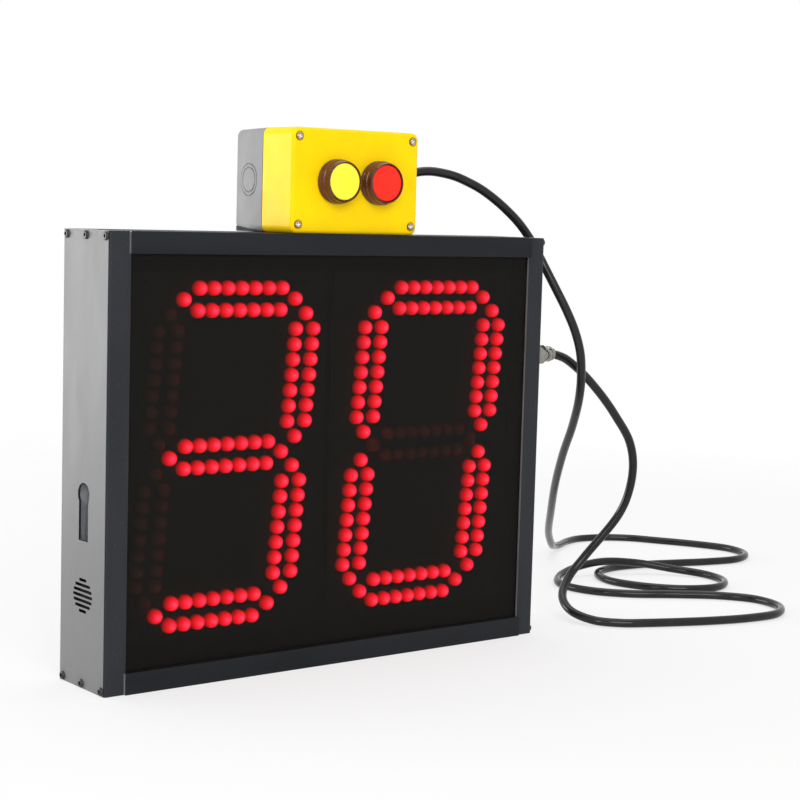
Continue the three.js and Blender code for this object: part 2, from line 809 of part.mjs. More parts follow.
add('gland_body', glandBody(), nickel, 0.25, 1);
const nutX = glandFace + gland.flange + glandGap;
add('gland_dome_nut', domeNut().translate(nutX, glandY, gland.z), nickel, 0.25, 1);
const sealBody = turnedX(tube(gland.bore, sealRing.outer, sealRing.length));
sealBody.translate(nutX + glandNut.hexLength / 2 + seam, glandY, gland.z);
add('gland_seal', sealBody, rubberBlack, 0.9);
const lockX = innerX - seam - lockNut.thickness;
add('gland_lock_nut', lockNutBody().translate(lockX, glandY, gland.z), nickel, 0.3, 1);

// Control box. Its pieces are placed from the middle of its front face, at the foot.
const boxFront = frontY + boxSetback;
const boxFoot = cabinetHeight + seam / 3;
const boxMiddleZ = boxFoot + box.height / 2;
const coverBack = boxFront + box.coverDepth;
const baseFront = coverBack + gasket.thickness;
const baseBack = baseFront + box.baseDepth;

// Rings of equal point counts joined into one closed loft along Y
function loft(rings) {
  const positions = [];
  const index = [];
  const unique = rings.map(({ width, height, radius }) => {
    const points = roundedRectangle(width, height, radius).getPoints(arcSteps);
    const open = points.filter((p, k) => k === 0 || p.distanceTo(points[k - 1]) > seam / 1000);
    return open[0].distanceTo(open[open.length - 1]) < seam / 1000 ? open.slice(0, -1) : open;
  });
  const count = unique[0].length;
  rings.forEach(({ y }, k) => unique[k].forEach((p) => positions.push(p.x, y, p.y)));
  for (let k = 0; k + 1 < rings.length; k += 1) {
    for (let i = 0; i < count; i += 1) {
      const j = (i + 1) % count;
      const [a, b, c, d] = [k * count + i, k * count + j, (k + 1) * count + j, (k + 1) * count + i];
      index.push(a, b, c, a, c, d);
    }
  }
  const last = (rings.length - 1) * count;
  for (let i = 1; i + 1 < count; i += 1) {
    index.push(0, i + 1, i);
    index.push(last, last + i, last + i + 1);
  }
  const geometry = new THREE.BufferGeometry();
  geometry.setAttribute('position', new THREE.Float32BufferAttribute(positions, 3));
  geometry.setIndex(index);
  return closed(geometry);
}

// How far the base's sides have drawn in at a depth behind the gasket
function taperAt(y) {
  return (baseTaper * y) / (box.baseDepth - backRound);
}

function ringAt(y, shrink, wall = 0) {
  const less = 2 * (shrink + wall);
  const radius = Math.max(boxCorner - wall, wall / 2);
  return { y, width: box.width - less, height: box.height - less, radius };
}

function postPlaces() {
  const x = box.width / 2 - post.insetX;
  const z = box.height / 2 - post.insetZ;
  return [[-x, z], [x, z], [-x, -z], [x, -z]];
}

const buttonX = [-buttonSpacing / 2, buttonSpacing / 2];

function boxCover() {
  const shell = loft([
    ringAt(0, frontRound),
    ringAt(frontRound / 3, frontRound / 3),
    ringAt(frontRound, 0),
    ringAt(box.coverDepth, 0),
  ]);
  const inside = ringAt(box.wall, frontRound, box.wall);
  const hollow = loft([inside, ringAt(box.coverDepth + overrun, 0, box.wall)]);
  let body = solid(shell).subtract(solid(hollow));
  const posts = solid(loft([ringAt(box.wall / 2, frontRound), ringAt(box.coverDepth, frontRound)]));
  for (const [x, z] of postPlaces()) {
    const half = post.size / 2;
    const corner = block(x - half, x + half, 0, box.coverDepth, z - half, z + half);
    body = body.add(solid(corner).intersect(posts));
  }
  for (const [x, z] of postPlaces()) {
    const recess = turned(rod(post.recessRadius, post.recessDepth + overrun), smallSides);
    const hole = turned(rod(post.hole, box.coverDepth + 2 * overrun), smallSides);
    for (const tool of [recess, hole]) body = body.subtract(solid(tool.translate(x, -overrun, z)));
  }
  for (const x of buttonX) {
    body = body.subtract(solid(turned(rod(panelHole, 2 * overrun + box.wall)).translate(x, -overrun, 0)));
  }
  return toGeometry(body).translate(boxShift, boxFront, boxMiddleZ);
}

function boxBase() {
  const depth = box.baseDepth;
  const back = ringAt(depth, baseTaper + backRound / 2);
  const shell = loft([ringAt(0, 0), ringAt(depth - backRound, baseTaper), back]);
  const floor = depth - box.wall;
  const mouth = ringAt(-overrun, taperAt(-overrun), box.wall);
  const hollow = loft([mouth, ringAt(floor, taperAt(floor), box.wall)]);
  let body = solid(shell).subtract(solid(hollow));
  const posts = solid(loft([ringAt(0, frontRound), ringAt(depth - box.wall / 2, baseTaper + frontRound)]));
  for (const [x, z] of postPlaces()) {
    const half = post.size / 2;
    const corner = solid(block(x - half, x + half, 0, depth, z - half, z + half)).intersect(posts);
    const hole = turned(rod(post.hole, boxScrew.length), smallSides).translate(x, -box.coverDepth, z);
    body = body.add(corner).subtract(solid(hole));
  }
  const start = taperAt(depth / 2) - box.width / 2 - overrun;
  for (const radius of [knockout.radius, knockout.inner]) {
    const groove = turnedX(tube(radius - knockout.groove, radius, overrun + knockout.depth));
    body = body.subtract(solid(groove.translate(start, depth / 2, 0)));
  }
  const entry = turnedX(rod(grommet.neck + seam, box.wall + 3 * overrun));
  body = body.subtract(solid(entry.translate(box.width / 2 - box.wall - 2 * overrun, depth / 2, 0)));
  return toGeometry(body).translate(boxShift, baseFront, boxMiddleZ);
}

add('box_cover', boxCover(), coverYellow, 0.45);
add('box_base', boxBase(), baseGrey, 0.6);

// The gasket keeps clear of the corner posts, so it is a frame with notched corners
function gasketFrame() {
  const { thickness, inset } = gasket;
  const [w, h] = [box.width / 2 - inset, box.height / 2 - inset];
  const notch = Math.max(post.insetX, post.insetZ) + post.size / 2 - inset + seam;
  const outline = polygon([
    [-w + notch, -h], [w - notch, -h], [w - notch, -h + notch], [w, -h + notch],
    [w, h - notch], [w - notch, h - notch], [w - notch, h], [-w + notch, h],
    [-w + notch, h - notch], [-w, h - notch], [-w, -h + notch], [-w + notch, -h + notch],
  ]);
  const t = box.wall / 1.5;
  outline.holes.push(polygon([
    [-w + notch + t, -h + t], [-w + notch + t, -h + notch + t], [-w + t, -h + notch + t],
    [-w + t, h - notch - t], [-w + notch + t, h - notch - t], [-w + notch + t, h - t],
    [w - notch - t, h - t], [w - notch - t, h - notch - t], [w - t, h - notch - t],
    [w - t, -h + notch + t], [w - notch - t, -h + notch + t], [w - notch - t, -h + t],
  ]));
  return alongY(outline, seam / 2, thickness - seam / 2).translate(boxShift, coverBack, boxMiddleZ);
}

add('box_gasket', gasketFrame(), rubberBlack, 0.9);

postPlaces().forEach(([x, z], k) => {
  const { headRadius, headHeight, shankRadius, length } = boxScrew;
  const screw = turnedFront(
    [
      [0, -length],
      [shankRadius, -length],
      [shankRadius, 0],
      [headRadius, 0],
      [headRadius, headHeight / 2],
      [headRadius / 2, headHeight],
      [0, headHeight],
    ],
    smallSides,
  );
  const seat = boxFront + post.recessDepth - seam / 3;
  add(`box_screw_${k + 1}`, screw.translate(boxShift + x, seat, boxMiddleZ + z), nickel, 0.3, 1);
});

// Strain relief ring where the cable leaves the right side of the base
function grommetBody() {
  const { neck, flangeRadius, flange, outside, insideLength, tipRadius } = grommet;
  const outerSeat = seam - taperAt(box.baseDepth / 2 - flangeRadius);
  const innerSeat = -box.wall - seam - taperAt(box.baseDepth / 2 + flangeRadius);
  return turnedX([
    [gland.bore, innerSeat - flange],
    [flangeRadius - flange / 2, innerSeat - flange],
    [flangeRadius - flange / 2, innerSeat],
    [neck, innerSeat],
    [neck, outerSeat],
    [flangeRadius, outerSeat],
    [flangeRadius, outerSeat + flange],
    [tipRadius + insideLength / 5, outerSeat + flange + insideLength],
    [tipRadius, outside],
    [gland.bore, outside],
    [gland.bore, innerSeat - flange],
  ]);
}

const grommetX = boxShift + box.width / 2;
const grommetY = baseFront + box.baseDepth / 2;
add('box_cable_grommet', grommetBody().translate(grommetX, grommetY, boxMiddleZ), rubberBlack, 0.8);

// Push-buttons: ring with its barrel through the panel, ring nut, cap and contact block
function bezelBody() {
  const { radius, ringRadius, length, wall, barrel, reach } = bezel;
  const { depth, width, at } = bezelGroove;
  const capBore = ringRadius - wall;
  const shelf = cap.skirt + cap.recess + buttonTravel + seam;
  const stemBore = cap.stem + cap.fit;
  return turnedFront([
    [stemBore, -reach],
    [barrel, -reach],
    [barrel, seam],
    [radius, seam],
    [radius, at],
    [radius - depth, at + depth / 2],
    [radius - depth, at + width - depth / 2],
    [radius - depth / 2, at + width],
    [ringRadius, length - wall],
    [ringRadius - wall / 3, length],
    [capBore, length],
    [capBore, length - shelf],
    [stemBore, length - shelf],
    [stemBore, -reach],
  ]);
}

function capBody() {
  const { recess, skirt, fit, stem, crown } = cap;
  const radius = bezel.ringRadius - bezel.wall - fit;
  const front = bezel.length - recess;
  return turnedFront([
    [0, -bezel.reach - buttonTravel / 2],
    [stem, -bezel.reach - buttonTravel / 2],
    [stem, front - skirt],
    [radius, front - skirt],
    [radius, front - crown],
    [radius - 2 * crown, front],
    [0, front],
  ]);
}

function ringNutBody() {
  const { radius, thickness } = ringNut;
  const ring = turned(tube(bezel.barrel + seam, radius, thickness));
  const notches = [0, 1, 2, 3].map((k) => {
    const third = thickness / 3;
    const [inner, outer] = [radius - third, radius + overrun];
    const notch = block(inner, outer, -overrun, thickness + overrun, -third, third);
    return notch.rotateY((k * Math.PI) / 2 + Math.PI / 4);
  });
  return cut(ring, notches);
}

function contactBlock() {
  const start = bezel.reach + seam;
  const end = boxDepth - box.wall - contact.backGap;
  const [w, h] = [contact.width / 2, contact.height / 2];
  const body = alongY(roundedRectangle(2 * w, 2 * h, box.wall), start, end);
  const well = turned(rod(contact.well, contact.wellDepth + overrun)).translate(0, start - overrun, 0);
  const terminals = [];
  for (const x of [-w / 2, w / 2]) {
    for (const z of [-h, h]) {
      const half = box.wall;
      const [y0, y1] = [end - 3 * box.wall, end - box.wall];
      const low = Math.min(z, z - Math.sign(z) * box.wall) - (z < 0 ? overrun : 0);
      terminals.push(block(x - half, x + half, y0, y1, low, low + box.wall + overrun));
    }
  }
  return cut(body, [well, ...terminals]);
}

for (const [k, word, color] of [[0, 'yellow', capYellow], [1, 'red', capRed]]) {
  const [x, y, z] = [boxShift + buttonX[k], boxFront, boxMiddleZ];
  add(`${word}_button_bezel`, bezelBody().translate(x, y, z), rubberBlack, 0.2);
  add(`${word}_button_cap`, capBody().translate(x, y, z), color, 0.35);
  const nutY = y + box.wall + seam;
  add(`${word}_button_nut`, ringNutBody().translate(x, nutY, z), rubberBlack, 0.5);
  add(`${word}_contact_block`, contactBlock().translate(x, y, z), baseGrey, 0.6);
}

// Cable route, points chosen by hand: down from the control box, in loops on the table, up to the gland
const boxLeadPoints = [
  [grommetX + grommet.outside + glandGap, grommetY, boxMiddleZ],
  [76, 23.1, 319.2], [84, 22.6, 322], [92, 21.5, 325.4], [100.1, 19.8, 327.8],
  [108.9, 17.1, 328.6], [117.6, 13.6, 327.6], [125.9, 9.6, 325.5], [134.2, 5.7, 321.9],
  [142.6, 1.8, 317.4], [151.2, -2, 311.3], [160.4, -5.2, 303.9], [170.8, -8, 294.4],
  [179.3, -10.8, 283.6], [184.6, -15.2, 272], [189, -20, 260.2], [194.6, -25, 246.6],
  [200.4, -29.8, 232.6], [206.2, -33.4, 217.6], [211.6, -34.2, 201.5], [217, -30.2, 183.5],
  [224.6, -20.8, 166.8], [240, 1.2, 144.5], [261, 33.2, 118], [290, 72.2, 87.5], [324, 113.2, 56],
  [359, 153.2, 29.5], [388, 180.2, 12.5], [408, 199.2, 6.4], [422, 208.2, 4.4], [433, 215.2, 3.8],
];
const loopPoints = [
  [433.4, 215.4, 3.8], [445, 222.2, 3.5], [466, 228.2, 3.4], [491, 222.2, 3.4],
  [511, 207.2, 3.4], [525, 185.2, 3.4], [543, 153.2, 3.4], [553, 122.2, 3.4], [544, 95.2, 3.4],
  [520, 82.2, 3.4], [488, 86.2, 3.4], [456, 96.2, 3.4], [422, 106.2, 3.4], [390, 107.2, 3.4],
  [364, 96.2, 3.4], [350, 68.2, 3.4], [358, 36.2, 3.4], [380, 11.2, 3.4], [408, 3.2, 3.4],
  [432, 17.2, 3.4], [440, 44.2, 3.6], [426, 71.2, 5.5], [403, 90.2, 9.5], [375, 103.2, 11],
  [345, 107.2, 7], [319, 96.2, 3.6], [304, 74.2, 3.4], [307, 45.2, 3.4], [326, 20.2, 3.4],
  [357, -0.8, 3.4], [384, -21.8, 3.4], [399, -46.8, 3.4], [394, -74.8, 3.4], [372, -91.8, 3.4],
  [341, -91.8, 3.4], [306, -82.8, 3.4], [285, -74.8, 3.4], [273, -69.8, 3.4],
];
const glandLeadPoints = [
  [272.6, -69.6, 3.4], [262, -64.8, 3.4], [244, -54.8, 3.4], [230, -38.8, 4.2],
  [225, -19.8, 8.4], [232, -2.8, 16], [246, 5.2, 28], [259, 3.2, 42], [278, -12.8, 75.5],
  [281, -19.8, 94.5], [279, -24.8, 116], [274, -24.8, 133.5], [260, -24, 152.2],
  [250.2, -22.8, 163.9], [239.9, -21.8, 174.3], [229.7, -20.8, 183.5], [219.6, -19.8, 191.2],
  [210, -18.8, 197],
  [nutX + glandNut.length + glandGap, glandY, gland.z],
];

function curveThrough(points) {
  return new THREE.CatmullRomCurve3(points.map((p) => new THREE.Vector3(...p)), false, 'centripetal');
}

function cable(points, step, sides) {
  const curve = curveThrough(points);
  const steps = Math.round(curve.getLength() / step);
  const section = new THREE.Shape();
  for (let k = 0; k < sides; k += 1) {
    const angle = (2 * Math.PI * k) / sides;
    const corner = [cableRadius * Math.cos(angle), cableRadius * Math.sin(angle)];
    if (k) section.lineTo(...corner);
    else section.moveTo(...corner);
  }
  return closed(new THREE.ExtrudeGeometry(section, { steps, extrudePath: curve, curveSegments: 1 }));
}

const leadStep = 5 * cableRadius;
const loopStep = 4.4 * cableRadius;
add('cable_box_lead', cable(boxLeadPoints, leadStep, 8), rubberBlack, 0.35);
add('cable_loops', cable(loopPoints, loopStep, 6), rubberBlack, 0.35);
add('cable_gland_lead', cable(glandLeadPoints, leadStep, 8), rubberBlack, 0.35);

// Least clear gap of the loops to themselves, between stretches further apart than two bend radii
function leastGap(points) {
  const curve = curveThrough(points);
  const spacing = cableRadius / 2;
  const count = Math.round(curve.getLength() / spacing);
  const places = curve.getSpacedPoints(count);
  const apart = Math.round((8 * cableRadius) / spacing);
  let least = Infinity;
  for (let i = 0; i < places.length; i += 1) {
    for (let j = i + apart; j < places.length; j += 1) {
      least = Math.min(least, places[i].distanceTo(places[j]));
    }
  }
  return least - 2 * cableRadius;
}

const cableLength = [boxLeadPoints, loopPoints, glandLeadPoints]
  .map((points) => curveThrough(points).getLength())
  .reduce((sum, length) => sum + length, 0);
const loopGap = leastGap(loopPoints);
console.log(`cable length ${cableLength.toFixed(0)} mm, least gap in its loops ${loopGap.toFixed(2)} mm`);

export default group;
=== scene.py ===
import math
from functools import partial

import bmesh
import bpy
from mathutils import Matrix, Vector


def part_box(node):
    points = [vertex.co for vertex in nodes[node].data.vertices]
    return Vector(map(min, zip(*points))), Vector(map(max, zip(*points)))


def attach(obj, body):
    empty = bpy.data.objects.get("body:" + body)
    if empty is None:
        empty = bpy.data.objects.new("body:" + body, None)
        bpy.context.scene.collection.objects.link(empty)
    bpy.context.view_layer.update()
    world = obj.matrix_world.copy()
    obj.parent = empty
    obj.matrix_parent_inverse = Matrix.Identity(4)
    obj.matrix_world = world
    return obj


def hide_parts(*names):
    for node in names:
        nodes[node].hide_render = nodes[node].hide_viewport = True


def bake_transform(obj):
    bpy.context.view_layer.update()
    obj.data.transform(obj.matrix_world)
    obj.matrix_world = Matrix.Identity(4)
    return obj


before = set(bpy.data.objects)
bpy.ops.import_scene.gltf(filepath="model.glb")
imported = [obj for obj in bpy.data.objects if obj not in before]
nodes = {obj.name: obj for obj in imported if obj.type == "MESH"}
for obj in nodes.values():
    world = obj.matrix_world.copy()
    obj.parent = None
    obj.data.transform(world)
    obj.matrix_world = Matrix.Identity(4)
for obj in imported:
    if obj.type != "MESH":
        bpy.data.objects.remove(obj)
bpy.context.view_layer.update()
mm = 0.001
print("frame loaded:", len(nodes), "nodes")


# camera, as it was fitted to the photograph

view = {
    "place": (-730.83, -1032.61, 301.31),
    "lens": 85.28,
    "sensor": 36,
    "sightEnd": 50,
    "turned": 37.94,
    "down": 5.74,
    "roll": 1.62,
}


def newObject(name, data):
    result = bpy.data.objects.new(name, data)
    bpy.context.scene.collection.objects.link(result)
    return result


def makeCamera():
    turned, down, roll = (math.radians(view[key]) for key in ("turned", "down", "roll"))
    data = bpy.data.cameras.new("camera")
    data.lens, data.sensor_width, data.clip_end = view["lens"], view["sensor"], view["sightEnd"]
    camera = newObject("camera", data)
    camera.matrix_world = Matrix.Translation(Vector(view["place"]) * mm)
    for angle, axis in ((-turned, "Z"), (math.pi / 2 - down, "X"), (roll, "Z")):
        camera.matrix_world = camera.matrix_world @ Matrix.Rotation(angle, 4, axis)
    bpy.context.scene.camera = camera


makeCamera()
print("camera ready")


# mesh helpers, all in millimetres until a mesh is made

def newPiece(name, points, faces):
    mesh = bpy.data.meshes.new(name)
    mesh.from_pydata([Vector(p) * mm for p in points], [], faces)
    work = bmesh.new()
    work.from_mesh(mesh)
    bmesh.ops.remove_doubles(work, verts=work.verts, dist=1e-7)
    bmesh.ops.recalc_face_normals(work, faces=work.faces)
    work.to_mesh(mesh)
    work.free()
    return newObject(name, mesh)


def settled(piece):
    # turns the modifiers into plain mesh
    graph = bpy.context.evaluated_depsgraph_get()
    mesh = bpy.data.meshes.new_from_object(
        piece.evaluated_get(graph), preserve_all_data_layers=True, depsgraph=graph)
    old = piece.data
    piece.modifiers.clear()
    piece.data = mesh
    mesh.name = piece.name
    if old.users == 0:
        bpy.data.meshes.remove(old)
    return piece


def polished(piece, width=0.0, angle=35):
    # rounds the edges and keeps flat faces flat
    piece.data.shade_smooth()
    if width:
        bevel = piece.modifiers.new("edges", "BEVEL")
        bevel.width = width * mm
        bevel.segments = 2
        bevel.limit_method = "ANGLE"
        bevel.angle_limit = math.radians(angle)
    else:
        piece.data.set_sharp_from_angle(angle=math.radians(angle))
    weighted = piece.modifiers.new("normals", "WEIGHTED_NORMAL")
    weighted.keep_sharp = True
    weighted.weight = 80
    return settled(piece)


def cutWith(piece, cutters, operation="DIFFERENCE"):
    for cutter in cutters:
        boolean = piece.modifiers.new("cut", "BOOLEAN")
        boolean.operation, boolean.solver, boolean.object = operation, "EXACT", cutter
    bpy.context.view_layer.update()
    settled(piece)
    for cutter in cutters:
        bpy.data.objects.remove(cutter)
    return piece


def rounded(points, radius, steps=3):
    # each corner of a closed outline becomes an arc, cut back where its sides are short
    straight, share = math.radians(165), 0.45
    drawn = [Vector(p) for p in points]
    result = []
    for k, corner in enumerate(drawn):
        before, after = drawn[k - 1] - corner, drawn[(k + 1) % len(drawn)] - corner
        opening = before.angle(after)
        if opening > straight:
            result.append(tuple(corner))
            continue
        reach = min(radius / math.tan(opening / 2), before.length * share, after.length * share)
        start, end = corner + before.normalized() * reach, corner + after.normalized() * reach
        for t in (k / steps for k in range(steps + 1)):
            result.append(tuple(start * (1 - t) ** 2 + corner * 2 * t * (1 - t) + end * t * t))
    return result


def quarter(steps):
    # cosine and sine from 0 to 90 degrees
    turns = [math.radians(90 * k / steps) for k in range(steps + 1)]
    return [(math.cos(turn), math.sin(turn)) for turn in turns]


def rectangle(x0, z0, x1, z1):
    return [(x0, z0), (x1, z0), (x1, z1), (x0, z1)]


def spokes(sides, across, other):
    turns = [2 * math.pi * k / sides for k in range(sides)]
    return [across * math.cos(turn) + other * math.sin(turn) for turn in turns]


def ringPiece(name, rings, loop=False):
    # rings of equal point counts joined in order, as a loop or closed by a face at both ends
    count = len(rings[0])
    faces = []
    if not loop:
        last = (len(rings) - 1) * count
        faces = [tuple(range(count - 1, -1, -1)), tuple(range(last, last + count))]
    for row in range(len(rings) if loop else len(rings) - 1):
        near, far = row * count, (row + 1) % len(rings) * count
        for k in range(count):
            j = (k + 1) % count
            faces.append((near + k, near + j, far + j, far + k))
    return newPiece(name, [point for ring in rings for point in ring], faces)


def turnedPiece(name, profile, sides, origin, axis, ring=False):
    # (radius, height) points turned about an axis through origin
    axis = Vector(axis).normalized()
    across = axis.orthogonal().normalized()
    around = spokes(sides, across, axis.cross(across))
    rings = [[Vector(origin) + axis * height + spoke * radius for spoke in around] for radius, height in profile]
    return ringPiece(name, rings, ring)


def discCutter(radius, origin, axis, depth, sides=48):
    return turnedPiece("cutter", [(0, 0), (radius, 0), (radius, depth), (0, depth)], sides, origin, axis)


def lofted(name, rings, place):
    # rings are (outline, along); place turns (a, b, along) into a point
    return ringPiece(name, [[place(a, b, along) for a, b in outline] for outline, along in rings])


def drawnPiece(name, outline, place, low, high):
    return lofted(name, [(outline, low), (outline, high)], place)


def alongX(a, b, x):
    return (x, a, b)


def alongY(a, b, y):
    return (a, y, b)


def alongZ(a, b, z):
    return (a, b, z)


def roundedBox(width, height, radius, steps=6, cx=0.0, cz=0.0):
    w, h = width / 2, height / 2
    outline = []
    for sx, sz, start in ((1, 1, 0), (-1, 1, 90), (-1, -1, 180), (1, -1, 270)):
        for step in range(steps + 1):
            angle = math.radians(start + 90 * step / steps)
            outline.append((cx + sx * (w - radius) + radius * math.cos(angle),
                            cz + sz * (h - radius) + radius * math.sin(angle)))
    return outline


def cadCopy(node, name):
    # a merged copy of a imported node, its flat triangles joined into whole faces
    mesh = nodes[node].data.copy()
    mesh.name = name
    mesh.materials.clear()
    work = bmesh.new()
    work.from_mesh(mesh)
    bmesh.ops.remove_doubles(work, verts=work.verts, dist=2e-6)
    bmesh.ops.dissolve_limit(work, angle_limit=math.radians(0.5), verts=work.verts, edges=work.edges)
    work.to_mesh(mesh)
    work.free()
    return newObject(name, mesh)


def nodeBox(node):
    low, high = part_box(node)
    return low / mm, high / mm


def centreOf(node):
    low, high = nodeBox(node)
    return (low + high) / 2


def joined(name, pieces):
    work = bmesh.new()
    for piece in pieces:
        work.from_mesh(piece.data)
    mesh = bpy.data.meshes.new(name)
    work.to_mesh(mesh)
    work.free()
    for piece in pieces:
        bpy.data.objects.remove(piece)
    return newObject(name, mesh)


# node helpers, for geometry and shader trees alike

def link(tree, source, socket):
    # a node stands for its first output
    if isinstance(source, bpy.types.Node):
        source = source.outputs[0]
    if isinstance(source, bpy.types.NodeSocket):
        tree.links.new(source, socket)
    else:
        socket.default_value = source


def filled(tree, node, *sources):
    # links or sets a node's inputs in their order
    for socket, source in zip(node.inputs, sources):
        link(tree, source, socket)
    return node


def feed(tree, node, **sources):
    # links or sets inputs by name: sideSegments stands for Side Segments
    for word, source in sources.items():
        label = "".join(" " + letter if letter.isupper() else letter for letter in word)
        link(tree, source, node.inputs[label.title().replace("Ior", "IOR")])
    return node


def calc(tree, operation, *sources):
    node = tree.nodes.new("ShaderNodeMath")
    node.operation = operation
    return filled(tree, node, *sources)


def step(tree, kind, **sources):
    # kind is a node's type without its family
    families = ("Geometry", "Function", "Shader") if tree.bl_idname == "GeometryNodeTree" else ("Shader",)
    family = next(name for name in families if hasattr(bpy.types, f"{name}Node{kind}"))
    return feed(tree, tree.nodes.new(f"{family}Node{kind}"), **sources)


def newTree(name, inputs):
    # the tree, the sockets of its named inputs, its end, and calc and step for it
    tree = bpy.data.node_groups.new(name, "GeometryNodeTree")
    tree.interface.new_socket("Geometry", in_out="OUTPUT", socket_type="NodeSocketGeometry")
    for label, kind in inputs.items():
        tree.interface.new_socket(label, in_out="INPUT", socket_type="NodeSocket" + kind)
    given, end = (tree.nodes.new("NodeGroup" + word) for word in ("Input", "Output"))
    return tree, given.outputs, end, partial(calc, tree), partial(step, tree)


def endTree(tree, given, end, geometry):
    real = step(tree, "RealizeInstances", geometry=geometry)
    filled(tree, end, step(tree, "SetMaterial", geometry=real, material=given["Finish"]))
    return tree


def grown(name, carrier, tree, values):
    # runs a geometry tree on a carrier and keeps the result as plain mesh
    modifier = carrier.modifiers.new(name, "NODES")
    modifier.node_group = tree
    for item in tree.interface.items_tree:
        if item.item_type == "SOCKET" and item.in_out == "INPUT" and item.name in values:
            modifier[item.identifier] = values[item.name]
    bpy.context.view_layer.update()
    settled(carrier)
    carrier.name = name
    carrier.data.name = name
    return carrier


def pointCloud(name, places):
    mesh = bpy.data.meshes.new(name)
    mesh.from_pydata([Vector(p) * mm for p in places], [], [])
    return newObject(name, mesh)


# finishes: each one reads Object coordinates, in metres

def newFinish(name, colour, **values):
    finish = bpy.data.materials.new(name)
    finish.use_nodes = True
    tree = finish.node_tree
    shader = feed(tree, tree.nodes["Principled BSDF"], baseColor=(*colour, 1), **values)
    return finish, tree, shader, step(tree, "TexCoord").outputs["Object"]


def noise(tree, where, size, detail=3.0, rough=0.55, stretch=(1, 1, 1)):
    # size is the width of a blotch in millimetres
    mapping = step(tree, "Mapping", vector=where, scale=stretch)
    return step(tree, "TexNoise", vector=mapping, scale=1 / (size * mm), detail=detail, roughness=rough)


def spread(tree, value, low, high, fromLow=0.3, fromHigh=0.7):
    return step(tree, "MapRange", value=value, fromMin=fromLow, fromMax=fromHigh, toMin=low, toMax=high)


def blendColours(tree, factor, first, second):
    node = step(tree, "Mix")
    node.data_type = "RGBA"
    link(tree, factor, node.inputs["Factor"])
    for socket, colour in zip([s for s in node.inputs if s.type == "RGBA"], (first, second)):
        link(tree, colour if isinstance(colour, bpy.types.NodeSocket) else (*colour, 1), socket)
    return next(s for s in node.outputs if s.type == "RGBA")


def addBump(tree, shader, height, depth):
    # depth in millimetres
    feed(tree, shader, normal=step(tree, "Bump", height=height, distance=depth * mm))


def mottled(name, dark, light, blotch, gloss, grain=1.0, depth=0, stretch=(1, 1, 1), specks=None, **values):
    # two tones in soft blotches, uneven gloss, a fine grain and at most some specks
    finish, tree, shader, where = newFinish(name, dark, **values)
    patches = spread(tree, noise(tree, where, blotch, stretch=stretch), 0, 1)
    colour = blendColours(tree, patches, dark, light)
    if specks:
        fleck, size, sparse, strength = specks
        dots = spread(tree, noise(tree, where, size, 1.0), 0, strength, sparse, sparse + 0.06)
        colour = blendColours(tree, dots, colour, fleck)
    gleam = noise(tree, where, blotch * 0.6, stretch=stretch)
    feed(tree, shader, baseColor=colour, roughness=spread(tree, gleam, *gloss))
    if depth:
        addBump(tree, shader, noise(tree, where, grain, 2.0), depth)
    return finish, tree, shader


finishes = {}


# smoked acrylic with faint wipe marks and a little dust
window = {
    "edge": 0.3, "smoke": (0.009, 0.0085, 0.007), "opacity": 0.62, "wipe": 34, "gloss": (0.07, 0.17),
    "dust": (0.3, 0.28, 0.26), "fleck": 0.9, "dusty": 0.05,
}


def windowFinish():
    smoke = window["smoke"]
    finish, tree, shader, where = newFinish(
        "smokedWindow", smoke, alpha=window["opacity"], ior=1.49, specularIorLevel=0.07)
    wipes = noise(tree, where, window["wipe"], 4, 0.6, (1, 1, 0.45))
    dust = spread(tree, noise(tree, where, window["fleck"], 1.0), 0, window["dusty"], 0.68, 0.75)
    feed(tree, shader, roughness=spread(tree, wipes, *window["gloss"]),
         baseColor=blendColours(tree, dust, smoke, window["dust"]))
    return finish


ledLook = {
    "strength": 6.9,
    "flicker": (0.90, 1.06),
    "glow": ((0.0, (0.05, 0.0, 0.0)), (0.2, (0.26, 0.0, 0.001)), (0.4, (0.58, 0.0, 0.004)),
             (0.55, (0.80, 0.001, 0.008)), (0.75, (0.98, 0.020, 0.055)), (1.0, (1.0, 0.062, 0.135))),
    "body": {"lit": (0.50, 0.012, 0.015), "unlit": (0.30, 0.07, 0.05)},
    "unlitFoot": (0.14, 0.035, 0.022),
    "unlitTip": (0.50, 0.12, 0.08),
    "unlitGloss": 0.24,
}


def ledFinish(state):
    # a red dome; a lit one glows dark red at its foot and pink at its tip
    body = ledLook["body"][state]
    finish, tree, shader, where = newFinish("led" + state.title(), body, roughness=0.25, specularIorLevel=0.2)
    glow = step(tree, "Attribute")
    glow.attribute_name = "glow"
    flicker = spread(tree, noise(tree, where, 15, 1.0), *ledLook["flicker"])
    if state == "lit":
        shape = step(tree, "ValToRGB", fac=glow.outputs["Fac"])
        stops, elements = ledLook["glow"], shape.color_ramp.elements
        elements[0].color, elements[1].color = (*stops[0][1], 1), (*stops[-1][1], 1)
        for at, colour in stops[1:-1]:
            elements.new(at).color = (*colour, 1)
        feed(tree, shader, emissionColor=shape,
             emissionStrength=calc(tree, "MULTIPLY", flicker, ledLook["strength"]))
    else:
        rim = blendColours(tree, glow.outputs["Fac"], ledLook["unlitFoot"], ledLook["unlitTip"])
        feed(tree, shader, baseColor=rim, roughness=calc(tree, "MULTIPLY", flicker, ledLook["unlitGloss"]))
    return finish


tracks = {"scale": 90, "gap": 0.06, "row": 0.3, "strength": 0.5}


